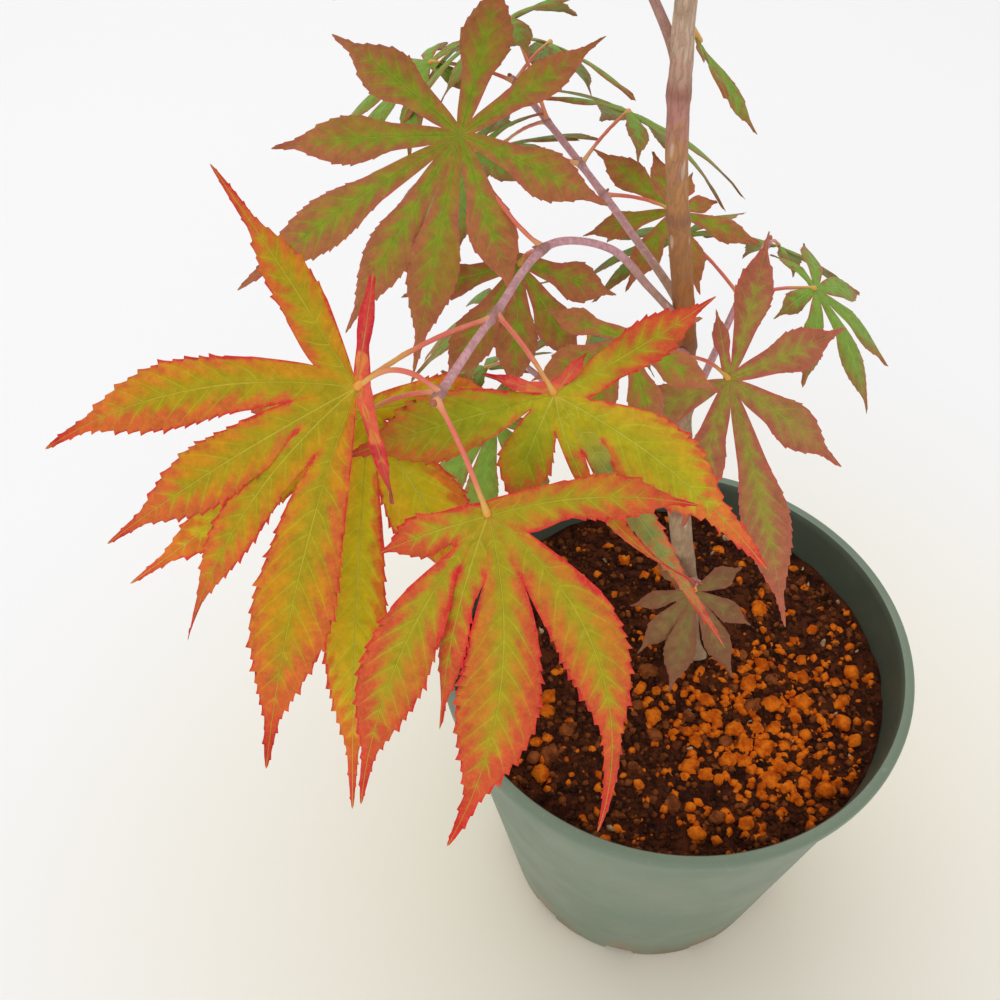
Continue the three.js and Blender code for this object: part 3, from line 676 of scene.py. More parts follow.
def lobe_grid(centre, axes, lobe, sinuses, neck, tooth, rng):
    """One lobe on a grid of levels along its rib and columns across it. Up to the sinus its edges are the
    straight lines from the leaf's centre that it shares with its neighbours. Beyond it they follow
    lobe_outline, with double teeth that point to the tip. The blade rises beside the rib and droops at its
    edge. Returns the upper grid, the lower one, and the fields that the colours read."""
    _, length, width, *_, look = lobe
    widest = SLENDER if look in ("slender", "folded") else WIDEST + rng.uniform(-0.03, 0.03)
    teeth = max(3, round(TOOTH["along"] * length / TOOTH["every"]))
    gaps = rng.uniform(0.7, 1.3, teeth)
    knots = SINUS + (TOOTH["last"] - SINUS) * np.concatenate([[0], np.cumsum(gaps) / gaps.sum()])
    shape_steps = (knots[:-1, None] + np.diff(knots)[:, None] * TOOTH["steps"]).ravel()
    s = np.concatenate([[0, 0.08, 0.16], shape_steps, [TOOTH["last"], 0.99, 1]])
    rise = np.concatenate([[0, 0, 0], np.tile(TOOTH["rise"], teeth), [0, 0, 0]])
    which = np.concatenate([[0, 0, 0], np.repeat(np.arange(teeth), len(TOOTH["steps"])), [teeth - 1] * 3])
    size = rng.uniform(0.25, 0.75, (teeth, 2)) + 0.4 * (np.arange(teeth)[:, None] % 2 == (0, 1))
    place, tangent, side, up = rib_frames(centre, axes, lobe, s)
    slim = CURLED if look == "crimson" else 1
    half = slim * width / 2 * lobe_outline(s, widest, neck)
    k = np.flatnonzero(s >= SINUS)[0]
    blend = 1 - smooth(s, SINUS, NECK)[:, None]
    envelope = smooth(s, 0.3, 0.44) * (1 - smooth(s, 0.95, 1.0))
    depth = tooth * slim**3 * np.minimum(0.62, 0.08 * half + 0.004 * length + 0.12) * envelope
    grid = np.empty((len(s), len(COLUMNS), 3))
    reach = np.empty((len(s), len(COLUMNS)))
    for sign, sinus, column in ((-1, sinuses[0], 0), (1, sinuses[1], 1)):
        offset = sinus - (place[k] + sign * side[k] * half[k])
        free = place + sign * side * half[:, None] + blend * offset
        shared = centre + (sinus - centre) * (s / SINUS)[:, None]
        edge = np.where((s < SINUS)[:, None], shared, free)
        reach_here = np.linalg.norm(edge - place, axis=1)
        lift = rise * size[which, column]
        wave = np.sin(s * length / rng.uniform(4.5, 8) + rng.uniform(0, 6.3)) * 0.5 * envelope
        for j in np.flatnonzero(COLUMNS * sign >= 0):
            v = abs(COLUMNS[j])
            spot = place + v * (edge - place)
            spot = spot - sign * side * (depth * (1 - lift) * v**8)[:, None]
            spot = spot + tangent * (0.9 * depth * lift * v**4)[:, None]
            swell = reach_here * RISE * v * (1 - v) - half * DROOP * v * v * smooth(s, 0.26, 0.5)
            grid[:, j] = spot + up * (swell + wave * v * v)[:, None]
            reach[:, j] = reach_here
    v = np.abs(COLUMNS)[None, :]
    by_centre = 1 - smooth(s, 0.1, 0.22)[:, None]
    number = (s[:, None] * length - v * reach * 1.1) / VEIN_GAP
    fields = {
        "blade": np.stack([COLUMNS * reach, (s * length)[:, None] + 0 * reach, number], -1),
        "inset": (1 - v) * reach + 5 * by_centre,
        "warm": COLUMNS[None, :] * reach * rng.uniform(-0.35, 0.35) + rng.uniform(-0.5, 0.5),
        "share": s[:, None] + 0 * reach,
    }
    bead = np.exp(-((v / 0.16) ** 2)) * RIB * (1 - 0.8 * s[:, None]) * smooth(s, 0, 0.04)[:, None]
    thick = BLADE * (1 - v**4) * smooth(s, 0, 0.05)[:, None] * (1 - s[:, None] ** 3) + bead
    return grid, grid - up[:, None] * thick[..., None], fields


def leaf_arrays(tint, centre, face, lobes, rng):
    """A palmate leaf as closed thin lobes that meet on shared lines from its centre. Returns for each lobe
    the leaf's tint, its own tint, its upper and lower grids and its fields."""
    axes = blade_axes(*face)
    centre = np.asarray(centre, float)
    around = sorted(map(whole, lobes), key=lambda lobe: lobe[0])
    on_rib = [on_rib_at(centre, axes, lobe, SINUS) for lobe in around]
    neck, sinus_reach, tooth = CUTS.get(tint, CUT)
    sinuses = []
    for i, lobe in enumerate(around):
        j = (i + 1) % len(around)
        opening = (around[j][0] - lobe[0] + 360) % 360
        heading = np.radians(lobe[0] + opening / 2)
        inward = centre + BOSS * 2 * (np.cos(heading) * axes[1] + np.sin(heading) * axes[2])
        out = sinus_reach * np.clip(1 - (opening - 30) / 90, 0.5, 1)
        middle = out * ((on_rib[i] + on_rib[j]) / 2 - centre)
        short = SINUS_LIMIT * min(lobe[1], around[j][1])
        middle = centre + middle * min(1, short / np.linalg.norm(middle))
        apart = opening > WIDE_GAP or "crimson" in (lobe[6], around[j][6])
        sinuses.append(inward if apart else middle)
    own = rng.uniform(0, 1)
    made = []
    for i, lobe in enumerate(around):
        upper, lower, fields = lobe_grid(centre, axes, lobe, (sinuses[i - 1], sinuses[i]), neck, tooth, rng)
        fields["leaf"] = np.full(upper.shape[:2], own)
        made.append((tint, lobe[6] if lobe[6] in LEAF_COLOURS else tint, upper, lower, fields))
    return made


# A lobe's cell in the map is this many times longer than wide, and has a margin of this share on each side
CELL_SHAPE = 4.2
CELL_MARGIN = 0.04


def leaves_piece(name, leaves, seed):
    """All leaves of a mass in one mesh. Each side of each lobe is laid out in its own cell of the OFBake
    map, with its rib along the cell, so that its colours bake where they belong."""
    rng = np.random.default_rng(seed)
    lobes = [lobe for leaf in leaves for lobe in leaf_arrays(leaf[0], leaf[2], leaf[3], leaf[5], rng)]
    pairs = sorted({lobe[:2] for lobe in lobes})
    materials = [finish_of(*pair, under) for under in (False, True) for pair in pairs]
    cells = 2 * len(lobes)
    wide = max(1, round(np.sqrt(cells / CELL_SHAPE)))
    high = -(-cells // wide)
    points, faces, uvs, index, fields = [], [], [], [], {}
    start = 0
    for number, (tint, own, upper, lower, values) in enumerate(lobes):
        n, m = upper.shape[:2]
        grid = numbered(n, m)
        a, b, c, d = grid[:-1, :-1], grid[:-1, 1:], grid[1:, 1:], grid[1:, :-1]
        tris = np.concatenate([np.stack([a, c, b], -1)[1:], np.stack([a, d, c], -1)[:-1]]).reshape(-1, 3)
        s, v = np.meshgrid(np.linspace(0, 1, n), (COLUMNS + 1) / 2, indexing="ij")
        flat = np.stack([s, v], -1).reshape(-1, 2)
        for under, surface in ((0, upper), (1, lower)):
            turned = tris[:, ::-1] if under else tris
            cell = 2 * number + under
            corner = np.array([cell % wide, cell // wide])
            spots = flat[turned]
            points.append(surface.reshape(-1, 3))
            faces.append(turned + start)
            uvs.append((corner + CELL_MARGIN + (1 - 2 * CELL_MARGIN) * spots) / (wide, high))
            index.append(np.full(len(tris), pairs.index((tint, own)) + under * len(pairs)))
            for key, value in values.items():
                fields.setdefault(key, []).append(value.reshape(n * m, *value.shape[2:]))
            start += n * m
    attributes = {key: np.concatenate(value) for key, value in fields.items()}
    return put_mesh(name, np.vstack(points), np.vstack(faces), materials, np.concatenate(index), attributes,
                    np.concatenate(uvs))


# The rule of the solids, again
def ruled_leaf(tint, at, start, heading, size, random):
    """A leaf whose stalk leaves the stem along heading, and whose blade hangs outward from its end."""
    centre = start + heading * size * (0.6 + 0.12 * next(random))
    centre[2] -= size * 0.06
    outward = np.degrees(np.arctan2(heading[1], heading[0])) + 14 * next(random)
    lobes = []
    for turn, length, width in LOBES:
        lobe = [turn + 6 * next(random), size * length * (1 + 0.07 * next(random))]
        lobe += [size * width * (1 + 0.1 * next(random)), 32 + 14 * next(random)]
        lobes.append((*lobe, 8 * next(random), 10 * next(random)))
    return (tint, at, centre, (outward, 60 + 9 * next(random)), 2, lobes)


def ruled_shoot(rule, seed):
    """A bough that rises from the trunk and bends outward, and its leaves in pairs, each pair turned a
    quarter against the last and smaller than it."""
    name, tint, height, azimuth, rise, reach, size, pairs, bare, posed = rule
    random = seeded(seed)
    start = on_trunk(height)
    a, e = np.radians(azimuth), np.radians(rise)

    def aim(pitch):
        return np.array([np.cos(a) * np.cos(pitch), np.sin(a) * np.cos(pitch), np.sin(pitch)])

    middle = start + aim(e) * reach / 2
    curve = bezier(start, middle, middle + aim(e * 0.4) * reach / 2)
    leaves = list(posed)
    for k in range(pairs):
        at = bare + (1 - bare) * ((k + 1) / pairs) - 0.02
        along = heading_at(curve, at)
        across = unit(np.cross(along, (0, 0, 1)))
        above = np.cross(across, along)
        for side in (1, -1):
            turn = np.radians((90 if k % 2 else 0) + 16 * next(random))
            heading = along * 0.5 + across * side * np.cos(turn) * 0.85
            heading = unit(heading + above * (side * np.sin(turn) * 0.7 + 0.2))
            grown = size * (1 - 0.3 * k / pairs) * (1 + 0.08 * next(random))
            leaves.append(ruled_leaf(tint, at, places(curve, at), heading, grown, random))
    return name, curve, bare, (1.2, 0.65), leaves


def has_room(leaf, node):
    """Whether the mass's solid has this leaf: the source skips one with no room. Most of its lobes' tips
    must be corners of the solid."""
    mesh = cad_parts[node].data
    corners = np.empty(len(mesh.vertices) * 3)
    mesh.vertices.foreach_get("co", corners)
    corners = corners.reshape(-1, 3) / MM
    centre, axes = np.asarray(leaf[2], float), blade_axes(*leaf[3])
    tips = [on_rib_at(centre, axes, whole(lobe), 1.0) for lobe in leaf[5]]
    near = [np.linalg.norm(corners - tip, axis=1).min() < 0.6 for tip in tips]
    return sum(near) * 2 > len(near)


# The front left stem runs from the trunk through these
FRONT_SPOTS = [(-15, 1, 195), (-22, -2, 205), (-31, -7, 210), (-40, -28, 214), (-47, -47, 217)]
FRONT_LEAVES = [LEFT, LEFT_UNDER, FRONT, RIGHT, UPPER, UPPER_SMALL]

# Each shoot: name, curve of its stem, share of that which is bare, radii at its two ends, and leaves
SHOOTS = [
    ("front_left", through(on_trunk(184), *FRONT_SPOTS), 0.45, (1.15, 0.6), FRONT_LEAVES),
    ("middle", through(on_trunk(178), (-8, 1.4, 180), (-7.5, -1, 181)), 0, (0.9, 0.8), [MIDDLE, FAR_RIGHT]),
    ("low", through(on_trunk(110), (1.5, 2.4, 114), (2.5, 0, 116)), 0, (0.9, 0.8), [LOW]),
]
SHOOTS += [ruled_shoot(rule, 11 + 7 * i) for i, rule in enumerate(RULED)]

# A slot name handed over with a mass's leaves, where it isn't green
SLOTS = {"front_left": "orange", "upper_back": "orange", "upper_front": "orange", "top": "orange"}
SLOTS |= {"middle": "bronze", "low": "bronze", "right": "bronze", "left": "bronze"}


# Bark
def bark_cracks(w, given):
    """Fine cracks that run up the limb: noise stretched along Z, narrowed to lines, over soft mottling."""
    stretch = w.add("Mapping", {"Vector": w.here(), "Scale": (1.0, 1.0, 0.22)})
    lines = w.noise(given["Crack scale"], 4.0, 0.6, stretch.outputs[0])
    crack = w.ramp(w.math("ABSOLUTE", w.less(lines, 0.5)), 0.0, 0.06, 1.0, 0.0)
    mottle = w.noise(given["Mottle scale"], 4.0, 0.6)
    pores = w.add("TexVoronoi", {"Vector": stretch.outputs[0], "Scale": given["Pore scale"]})
    pore = w.ramp(pores.outputs["Distance"], 0.12, 0.2, 1.0, 0.0)
    height = w.less(w.plus(w.times(mottle, 0.6), w.times(pore, 0.5)), crack)
    return {"Cracks": crack, "Mottle": mottle, "Pores": pore, "Height": height}


BARK_SCALES = {"Crack scale": 900.0, "Mottle scale": 260.0, "Pore scale": 420.0}
BARK = shader_group("young bark", BARK_SCALES, bark_cracks)


def bark_material(name, first, bands, crack, pore, mottled, by_height=False):
    """Bark with cracks and pale pores. It starts in its first colour, and each band (from, to, colour) is
    where it changes to the next: in shares of the limb, or in mm of height."""

    def base(w):
        bark = w.add("Group", node_tree=BARK)
        stray = w.less(bark.outputs["Mottle"], 0.5)
        if by_height:
            z = w.add("SeparateXYZ", {0: w.here()}).outputs[2]
            moved = w.plus(w.math("DIVIDE", z, MM), w.times(stray, 30.0))
        else:
            moved = w.plus(w.field("share"), w.times(stray, 0.3))
        colour = first
        for start, end, later in bands:
            colour = w.mix(w.ramp(moved, start, end), colour, later)
        dark = w.mix(w.ramp(bark.outputs["Mottle"], 0.4, 0.68, 0.0, mottled), colour, crack)
        colour = w.mix(w.times(bark.outputs["Cracks"], 0.3), dark, crack)
        colour = w.mix(w.times(bark.outputs["Pores"], 0.6), colour, pore)
        return w.mix(w.times(w.field("scar"), 0.7), colour, rgb(150, 104, 84))

    def height(w):
        return w.add("Group", node_tree=BARK).outputs["Height"]

    return material(name, base, 0.72, 0.3, height, 0.6, 0.0002)


TRUNK_BANDS = [(158, 184, rgb(168, 102, 42)), (188, 214, rgb(196, 142, 92))]
TRUNK_BANDS += [(214, 224, rgb(198, 140, 128)), (226, 240, rgb(218, 190, 164))]
TRUNK_COLOURS = rgb(186, 156, 122), TRUNK_BANDS, rgb(150, 108, 78), rgb(226, 204, 180)
TRUNK_BARK = bark_material("trunk bark", *TRUNK_COLOURS, 0.35, True)
BOUGH_BANDS = [(0.05, 0.38, rgb(226, 172, 180))]
BOUGH_COLOURS = rgb(186, 148, 122), BOUGH_BANDS, rgb(176, 124, 136), rgb(236, 196, 200)
BOUGH_BARK = bark_material("bough bark", *BOUGH_COLOURS, 0.22)


def stalk_base(w):
    """Yellow at the twig, red-pink along the middle and orange towards the blade, in patches."""
    share = w.field("share")
    moved = w.plus(share, w.times(w.stray(160.0), 0.7))
    colour = w.mix(w.ramp(moved, -0.1, 0.3), rgb(240, 186, 130), rgb(234, 116, 96))
    colour = w.mix(w.ramp(moved, 0.5, 1.0), colour, rgb(226, 178, 84))
    colour = w.mix(w.ramp(share, 0.95, 1.0), colour, rgb(240, 164, 60))
    return w.mix(w.ramp(w.noise(900.0), 0.55, 0.8, 0.0, 0.35), colour, rgb(240, 196, 172))


def bud_base(w):
    return w.mix(w.noise(900.0), rgb(158, 84, 66), rgb(196, 128, 92))


STALK_SKIN = material("leaf stalk", stalk_base, 0.4, 0.5, lambda w: w.noise(1100.0), 0.25, 0.0001)
BUD_SKIN = material("bud", bud_base, 0.45, 0.3, lambda w: w.noise(1600.0), 0.3, 0.0001)


def swellings(run, spots, size, reach):
    """A swelling at each spot: the sum of size e^-((run - spot) / reach)^2."""
    return sum((size * np.exp(-(((run - spot) / reach) ** 2)) for spot in spots), 0 * run)


def trunk_piece():
    """The trunk from the soil to its tip: an even taper, a root flare, swollen nodes and cracked bark."""
    t = np.linspace(0, 1, 521)
    curve = trunk_line(t)
    tall = TRUNK["top"] - GROUND

    # The heights of its leaf nodes: where shoots start, and some between
    nodes = np.array([110, 136, 157, 180, 207, 229, 256, 270, 294, 318, 336])

    def radius(share):
        height = GROUND + share * tall
        taper = TRUNK["foot_radius"] + (TRUNK["tip_radius"] - TRUNK["foot_radius"]) * share
        flare = TRUNK["flare"] * np.exp(-share * tall / TRUNK["flare_height"])
        return taper + flare + swellings(height, nodes, 0.22, 1.7)

    def relief(turn, run):
        rough = 0.02 * waves(turn, run * 0.6, 3, 18, 0.4, 7) + 0.05 * waves(turn, run * 0.1, 4, 12, 0.2, 7)
        ridges = np.cos(2 * np.pi * (turn * 4 + 0.1))
        roots = 0.9 * np.exp(-run / 3.2) * ridges * np.clip(1 - run / 12, 0, 1)
        return rough + roots + swellings(run - 0.35 * np.sin(2 * np.pi * turn), nodes - GROUND, 0.1, 0.35)

    points, faces, fields = tube(curve, t, radius, 40, relief)
    fields["scar"] = np.clip(swellings(points[:, 2], nodes, 1.0, 1.2), 0, 1)
    points[:, 2] = np.maximum(points[:, 2], GROUND - 1)
    return put_mesh("trunk_bark", points, faces, [TRUNK_BARK], attributes=fields)


RINGS_PER_MM = 1.6

# Past this share of a twig no bud shows beside its end bud. A stalk ends 0.2 mm over its blade's middle, or
# 0.7 mm under it where the stalk sags.
LAST_BUD = 0.95
STALK_OVER, STALK_UNDER = 0.2, -0.7

# The stalk of the small curled leaf at the front left leaf's centre: where it starts and ends, and its lift
SECOND_STALKS = {"front_left": [(0.985, np.array([-56.3, -47.6, 219.6]), 7)]}


def limbs():
    """Boughs, twigs, leaf stalks and buds, each kind joined into one mesh, and each mass's leaves."""
    boughs, twigs, stalks, buds = [], [], [], []
    for number, (name, curve, bare, radii, leaves) in enumerate(SHOOTS):
        node = "foliage_" + name
        kept = [leaf for leaf in leaves if has_room(leaf, node)]
        long = lengths(curve)[-1]
        joints = np.unique([leaf[1] for leaf in kept])

        def radius(share, radii=radii, joints=joints, long=long):
            taper = 0.95 * radii[1] + 0.2 * (radii[0] - radii[1]) * (1 - share)
            collar = 0.8 * np.exp(-share * long / 2.2)
            return taper + collar + swellings(share * long, joints * long, 0.16, 1.1)

        def relief(turn, run, seed=number):
            return 0.03 * waves(turn, run * 0.12, 20 + seed, 12, 0.3, 5)

        steps = max(12, int(long * RINGS_PER_MM))
        if bare:
            shares = np.linspace(0, bare, steps)
            boughs.append(scarred(tube(curve, shares, radius, 20, relief), joints))
        shares = np.linspace(bare, 1, steps)
        twigs.append(scarred(tube(curve, shares, radius, 16, relief), joints))
        tip, ahead = places(curve, 1.0), heading_at(curve, 1.0)
        buds.append(bud(tip + ahead * 0.3, ahead, 0.5, 1.3))
        for _, at, centre, face, lift, _ in kept:
            start = places(curve, at)
            end = centre + blade_axes(*face)[0] * (STALK_OVER if lift > 0 else STALK_UNDER)
            stalk = stalk_line(start, end, lift)
            stalks.append(stalk_tube(stalk, number))
            if at < LAST_BUD:
                axil = unit(heading_at(stalk, 0.02) + heading_at(curve, at))
                buds.append(bud(start + axil * 0.8, axil, 0.3, 1.0))
        for at, end, lift in SECOND_STALKS.get(name, []):
            stalks.append(stalk_tube(stalk_line(places(curve, at), end, lift), number))
        piece = leaves_piece("leaves_" + name, kept, 40 + number)
        hand_over(piece, "leaf_" + SLOTS.get(name, "green"), node)
    solids = [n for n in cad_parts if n.startswith("bough_")]
    for label, parts, skin, slot, replaced in (
        ("boughs_bark", boughs, BOUGH_BARK, "bough_bark", solids),
        ("twigs", twigs, BOUGH_BARK, "bough_bark", []),
        ("leaf_stalks", stalks, STALK_SKIN, "leaf_orange", []),
        ("buds", buds, BUD_SKIN, "bough_bark", []),
    ):
        points, faces, fields = joined(parts)
        hand_over(put_mesh(label, points, faces, [skin], attributes=fields), slot, *replaced)


def scarred(limb, joints):
    """The limb with a field that marks its leaf scars."""
    points, faces, fields = limb
    fields["scar"] = np.clip(swellings(fields["share"], joints, 0.8, 0.012), 0, 1)
    return points, faces, fields


def stalk_line(start, end, lift):
    """A stalk's centre: its middle is raised by half its lift."""
    return bezier(start, (start + end) / 2 + (0, 0, lift), end)


def stalk_tube(curve, seed):
    """A leaf stalk: thickest where it leaves the twig, thin in the middle, a little wider at the blade."""
    shares = np.linspace(0, 1, 26)

    def radius(share):
        return 0.34 + 0.36 * np.exp(-share * 16) + 0.2 * smooth(share, 0.85, 1.0)

    def relief(turn, run):
        return 0.03 * waves(turn, run * 0.6, 60 + seed, 8, 0.2, 4)

    return tube(curve, shares, radius, 10, relief)


def bud(at, heading, radius, length):
    """A pointed bud: radius sin(pi u^0.8)^0.7 along its length."""
    curve = at + np.linspace(0, 1, 12)[:, None] * heading * length

    def girth(share):
        return radius * np.sin(np.pi * np.clip(share, 0.02, 0.97) ** 0.8) ** 0.7

    return tube(curve, np.linspace(0, 1, 10), girth, 8)


# Pot
def wall_at(height):
    """The radius of the pot's outer wall at a height, under its lip."""
    return POT["foot"] + (POT["rim"] - POT["lip_out"] - POT["foot"]) * height / POT["height"]


def pot_skin_base(w):
    """Green-grey plastic with pale dust and specks, stained by soil near its foot and round its notches."""
    x, y, z = w.add("SeparateXYZ", {0: w.here()}).outputs
    way = w.times(w.math("ARCTAN2", y, x), 180 / np.pi)
    pitch = 360 / NOTCH["count"]
    from_notch = w.math("PINGPONG", w.math("DIVIDE", w.less(way, NOTCH["first"]), pitch), 0.5)
    beside = w.plus(from_notch, w.times(w.stray(420.0), 0.2))
    stain = w.times(w.ramp(beside, 0.06, 0.22, 0.85, 0.0), w.ramp(z, 0.006, 0.017, 1.0, 0.0))
    stain = w.times(stain, w.ramp(w.noise(90.0, 4.0, 0.6), 0.38, 0.62, 0.25, 1.0))
    dust = w.ramp(w.noise(28.0, 5.0, 0.6), 0.35, 0.75)
    colour = w.mix(w.times(dust, 0.35), rgb(112, 128, 108), rgb(140, 150, 128))
    speck = w.ramp(w.noise(500.0, 3.0, 0.7), 0.6, 0.75, 0.0, 0.4)
    colour = w.mix(speck, colour, rgb(150, 156, 136))
    low = w.times(w.ramp(z, 0.0, 0.014, 0.8, 0.0), w.ramp(w.noise(60.0, 4.0, 0.6), 0.38, 0.58))
    colour = w.mix(low, colour, rgb(122, 92, 64))
    return w.mix(stain, colour, rgb(158, 108, 72))


def fine_relief(w):
    return w.noise(1500.0, 2.0)


def pot_gloss(w):
    return w.ramp(w.noise(40.0), 0.3, 0.7, 0.38, 0.55)


# The pot's inside wall: the plastic in a darker green than outside, which is painted shade
def shaded_pot_inside_base(w):
    return w.mix(w.ramp(w.noise(60.0, 4.0), 0.4, 0.7, 0.0, 0.5), rgb(76, 86, 72), rgb(92, 102, 86))


def notch_base(w):
    return w.mix(w.noise(400.0), rgb(58, 34, 22), rgb(112, 74, 48))


POT_SKIN = material("pot plastic", pot_skin_base, pot_gloss, 0.5, fine_relief, 0.12, 0.0001)
POT_INSIDE_SHADED = material("pot plastic inside, painted shade", shaded_pot_inside_base, 0.5, 0.5, fine_relief, 0.12, 0.0001)
NOTCH_BACK = material("soil in the notches", notch_base, 0.9, 0.2, lambda w: w.noise(900.0), 0.6, 0.0005)


def pot_piece():
    """The pot: one profile turned about its axis. In a notch the points between the underside and the wall
    above it are drawn in to its back and ceiling. Each side of a notch has a column of both profiles."""
    foot, rim, tall = POT["foot"], POT["rim"], POT["height"]
    under = tall - POT["lip"]
    outside = [[wall_at(z), z] for z in np.linspace(8, under - 2, 12)]
    lip = [[wall_at(under), under], [rim - 0.55, under + 0.05], [rim - 0.1, under + 0.4]]
    lip += [[rim, under + 0.9], [rim, tall - 0.7], [rim - 0.15, tall - 0.25], [rim - 0.5, tall]]
    lip += [[rim - 1.6, tall]]
    inner = wall_at(tall) - POT["wall"]
    lip += [[inner + 0.35, tall - 0.05], [inner + 0.05, tall - 0.4]]
    levels = (tall - 2, tall - 5, tall - 9, tall - 14, 40, POT["floor"])
    inside = [[wall_at(z) - POT["wall"], z] for z in levels]
    ceiling = NOTCH["height"]
    above = [[wall_at(ceiling), ceiling]]
    back = foot - NOTCH["depth"]
    start = [[0, 0], [back - 8, 0], [back, 0]]
    plain = [[foot - 1.2, 0], [foot - 0.3, 0.3], [foot, 1.1], [wall_at(2.6), 2.6]]
    cut = [[back, 1.4], [back, 3], [back, ceiling], [foot - 2.2, ceiling]]
    rest = above + outside + lip + inside + [[0, POT["floor"]]]
    full = np.array(start + plain + rest, float)
    notched = np.array(start + cut + rest, float)
    half = np.degrees(NOTCH["width"] / 2 / foot)
    pitch = 360 / NOTCH["count"]
    columns = []
    for i in range(NOTCH["count"]):
        middle = NOTCH["first"] + i * pitch
        columns += [(middle - half, full)] + [(middle + x * half, notched) for x in (-1, -0.5, 0, 0.5, 1)]
        columns += [(middle + x, full) for x in np.linspace(half, pitch - half, 12)[:-1]]
    angle = np.radians([a for a, _ in columns])
    profile = np.array([p for _, p in columns])
    out, height = np.moveaxis(profile, -1, 0)
    grid = np.stack([out * np.cos(angle)[:, None], out * np.sin(angle)[:, None], height], -1)
    n, m = grid.shape[:2]
    cell = numbered(n, m)
    a, b = cell, np.roll(cell, -1, 0)
    faces = np.stack([a[:, :-1], b[:, :-1], b[:, 1:], a[:, 1:]], -1)
    row = np.tile(np.arange(m - 1), (n, 1))
    turns = np.array([p is notched for _, p in columns])
    in_notch = turns & np.roll(turns, -1)
    index = np.zeros((n, m - 1), int)
    index[(row >= 2) & (row <= 3) & in_notch[:, None]] = 2
    # The inside faces take the darker plastic with painted shade
    index[row >= len(start + plain + above + outside + lip) - 2] = 1
    skins = [POT_SKIN, POT_INSIDE_SHADED, NOTCH_BACK]
    piece = put_mesh("pot_shell", grid.reshape(-1, 3), faces.reshape(-1, 4), skins, index.ravel())
    made = bmesh.new()
    made.from_mesh(piece.data)
    bmesh.ops.remove_doubles(made, verts=made.verts, dist=1e-6)
    bmesh.ops.recalc_face_normals(made, faces=made.faces)
    made.to_mesh(piece.data)
    made.free()
    piece.data.set_sharp_from_angle(angle=np.radians(38))
    return piece


# Soil
def from_trunk(x, y):
    """How far a place is from the trunk's foot."""
    return np.hypot(x - TRUNK["foot"][0], y - TRUNK["foot"][1])


def from_patch(x, y):
    """How far a place is from the middle of the patch of clay grains."""
    return np.hypot(x - GRAINS["patch"][0], y - GRAINS["patch"][1])


def soil_height(x, y):
    """The soil's surface: nearly level, lower at the wall, heaped a little round the trunk, and lumpy."""
    r = np.hypot(x, y)
    heap = 0.7 * np.exp(-((from_trunk(x, y) / 9) ** 2))
    lumps = 0.3 * waves(x / 95, y / 9, 5, 16, 0.5, 5) + 0.2 * waves(x / 40, y / 4, 6, 16, 0.5, 5)
    return GROUND - 0.3 - 1.0 * smooth(r, 30, 47) + heap + lumps * smooth(r, 0, 6)


def soil_base(w):
    """Dark damp humus, with brown and reddish patches."""
    colour = w.mix(w.ramp(w.noise(220.0, 5.0, 0.65), 0.4, 0.62), rgb(60, 28, 20), rgb(100, 50, 28))
    return w.mix(w.ramp(w.noise(700.0, 4.0, 0.65), 0.56, 0.7, 0.0, 0.7), colour, rgb(112, 60, 30))


SOIL_SKIN = material("soil", soil_base, 0.95, 0.1, lambda w: w.noise(800.0, 5.0, 0.7), 1.0, 0.0012)


def crumb_material(name, dark, light, scale, rough=0.8):
    """A crumb of the potting mix: blotched between two colours, with a grainy surface."""

    def base(w):
        return w.mix(w.ramp(w.noise(scale, 4.0, 0.6), 0.35, 0.65), rgb(*dark), rgb(*light))

    return material(name, base, 0.95, 0.1, lambda w: w.noise(1400.0, 5.0, 0.7), rough, 0.0007)


CRUMB_DARK = crumb_material("dark crumbs", (44, 22, 15), (88, 48, 28), 500.0)
CRUMB_BROWN = crumb_material("brown crumbs", (90, 44, 20), (146, 80, 38), 400.0)
CLAY_GRAIN = crumb_material("clay grains", (198, 86, 14), (250, 132, 28), 420.0)
DULL_GRAIN = crumb_material("dull grains", (104, 52, 26), (164, 90, 44), 420.0)
PALE_BIT = crumb_material("pale bits", (150, 112, 78), (206, 178, 142), 500.0, 0.5)


def ball(detail):
    """The points and triangles of a unit icosphere."""
    made = bmesh.new()
    bmesh.ops.create_icosphere(made, subdivisions=detail, radius=1)
    points = np.array([v.co[:] for v in made.verts])
    faces = np.array([[v.index for v in f.verts] for f in made.faces])
    made.free()
    return points, faces


def grains(name, skin, at, size, turn, tilt, seed, detail=2, dent=0.16):
    """Lumps: for each a ball drawn halfway to an octahedron, dented, scaled by its size, tilted about Y and
    turned about Z. All lumps are worked out at once."""
    rng = np.random.default_rng(seed)
    points, faces = ball(detail)
    octahedral = 1 / np.abs(points).sum(axis=1, keepdims=True)
    count = len(at)
    shapes = (0.42 + 0.5 * octahedral) * points * rng.uniform(1 - dent, 1 + dent, (count, len(points), 1))
    shapes = shapes * size[:, None]
    (ct, st), (cz, sz) = ((np.cos(a)[:, None], np.sin(a)[:, None]) for a in (tilt, turn))
    x, y, z = np.moveaxis(shapes, -1, 0)
    x, z = ct * x + st * z, ct * z - st * x
    lumps = np.stack([cz * x - sz * y, sz * x + cz * y, z], -1) + at[:, None]
    all_faces = (faces[None] + (np.arange(count) * len(points))[:, None, None]).reshape(-1, 3)
    hand_over(put_mesh(name, lumps.reshape(-1, 3), all_faces, [skin]), "soil")


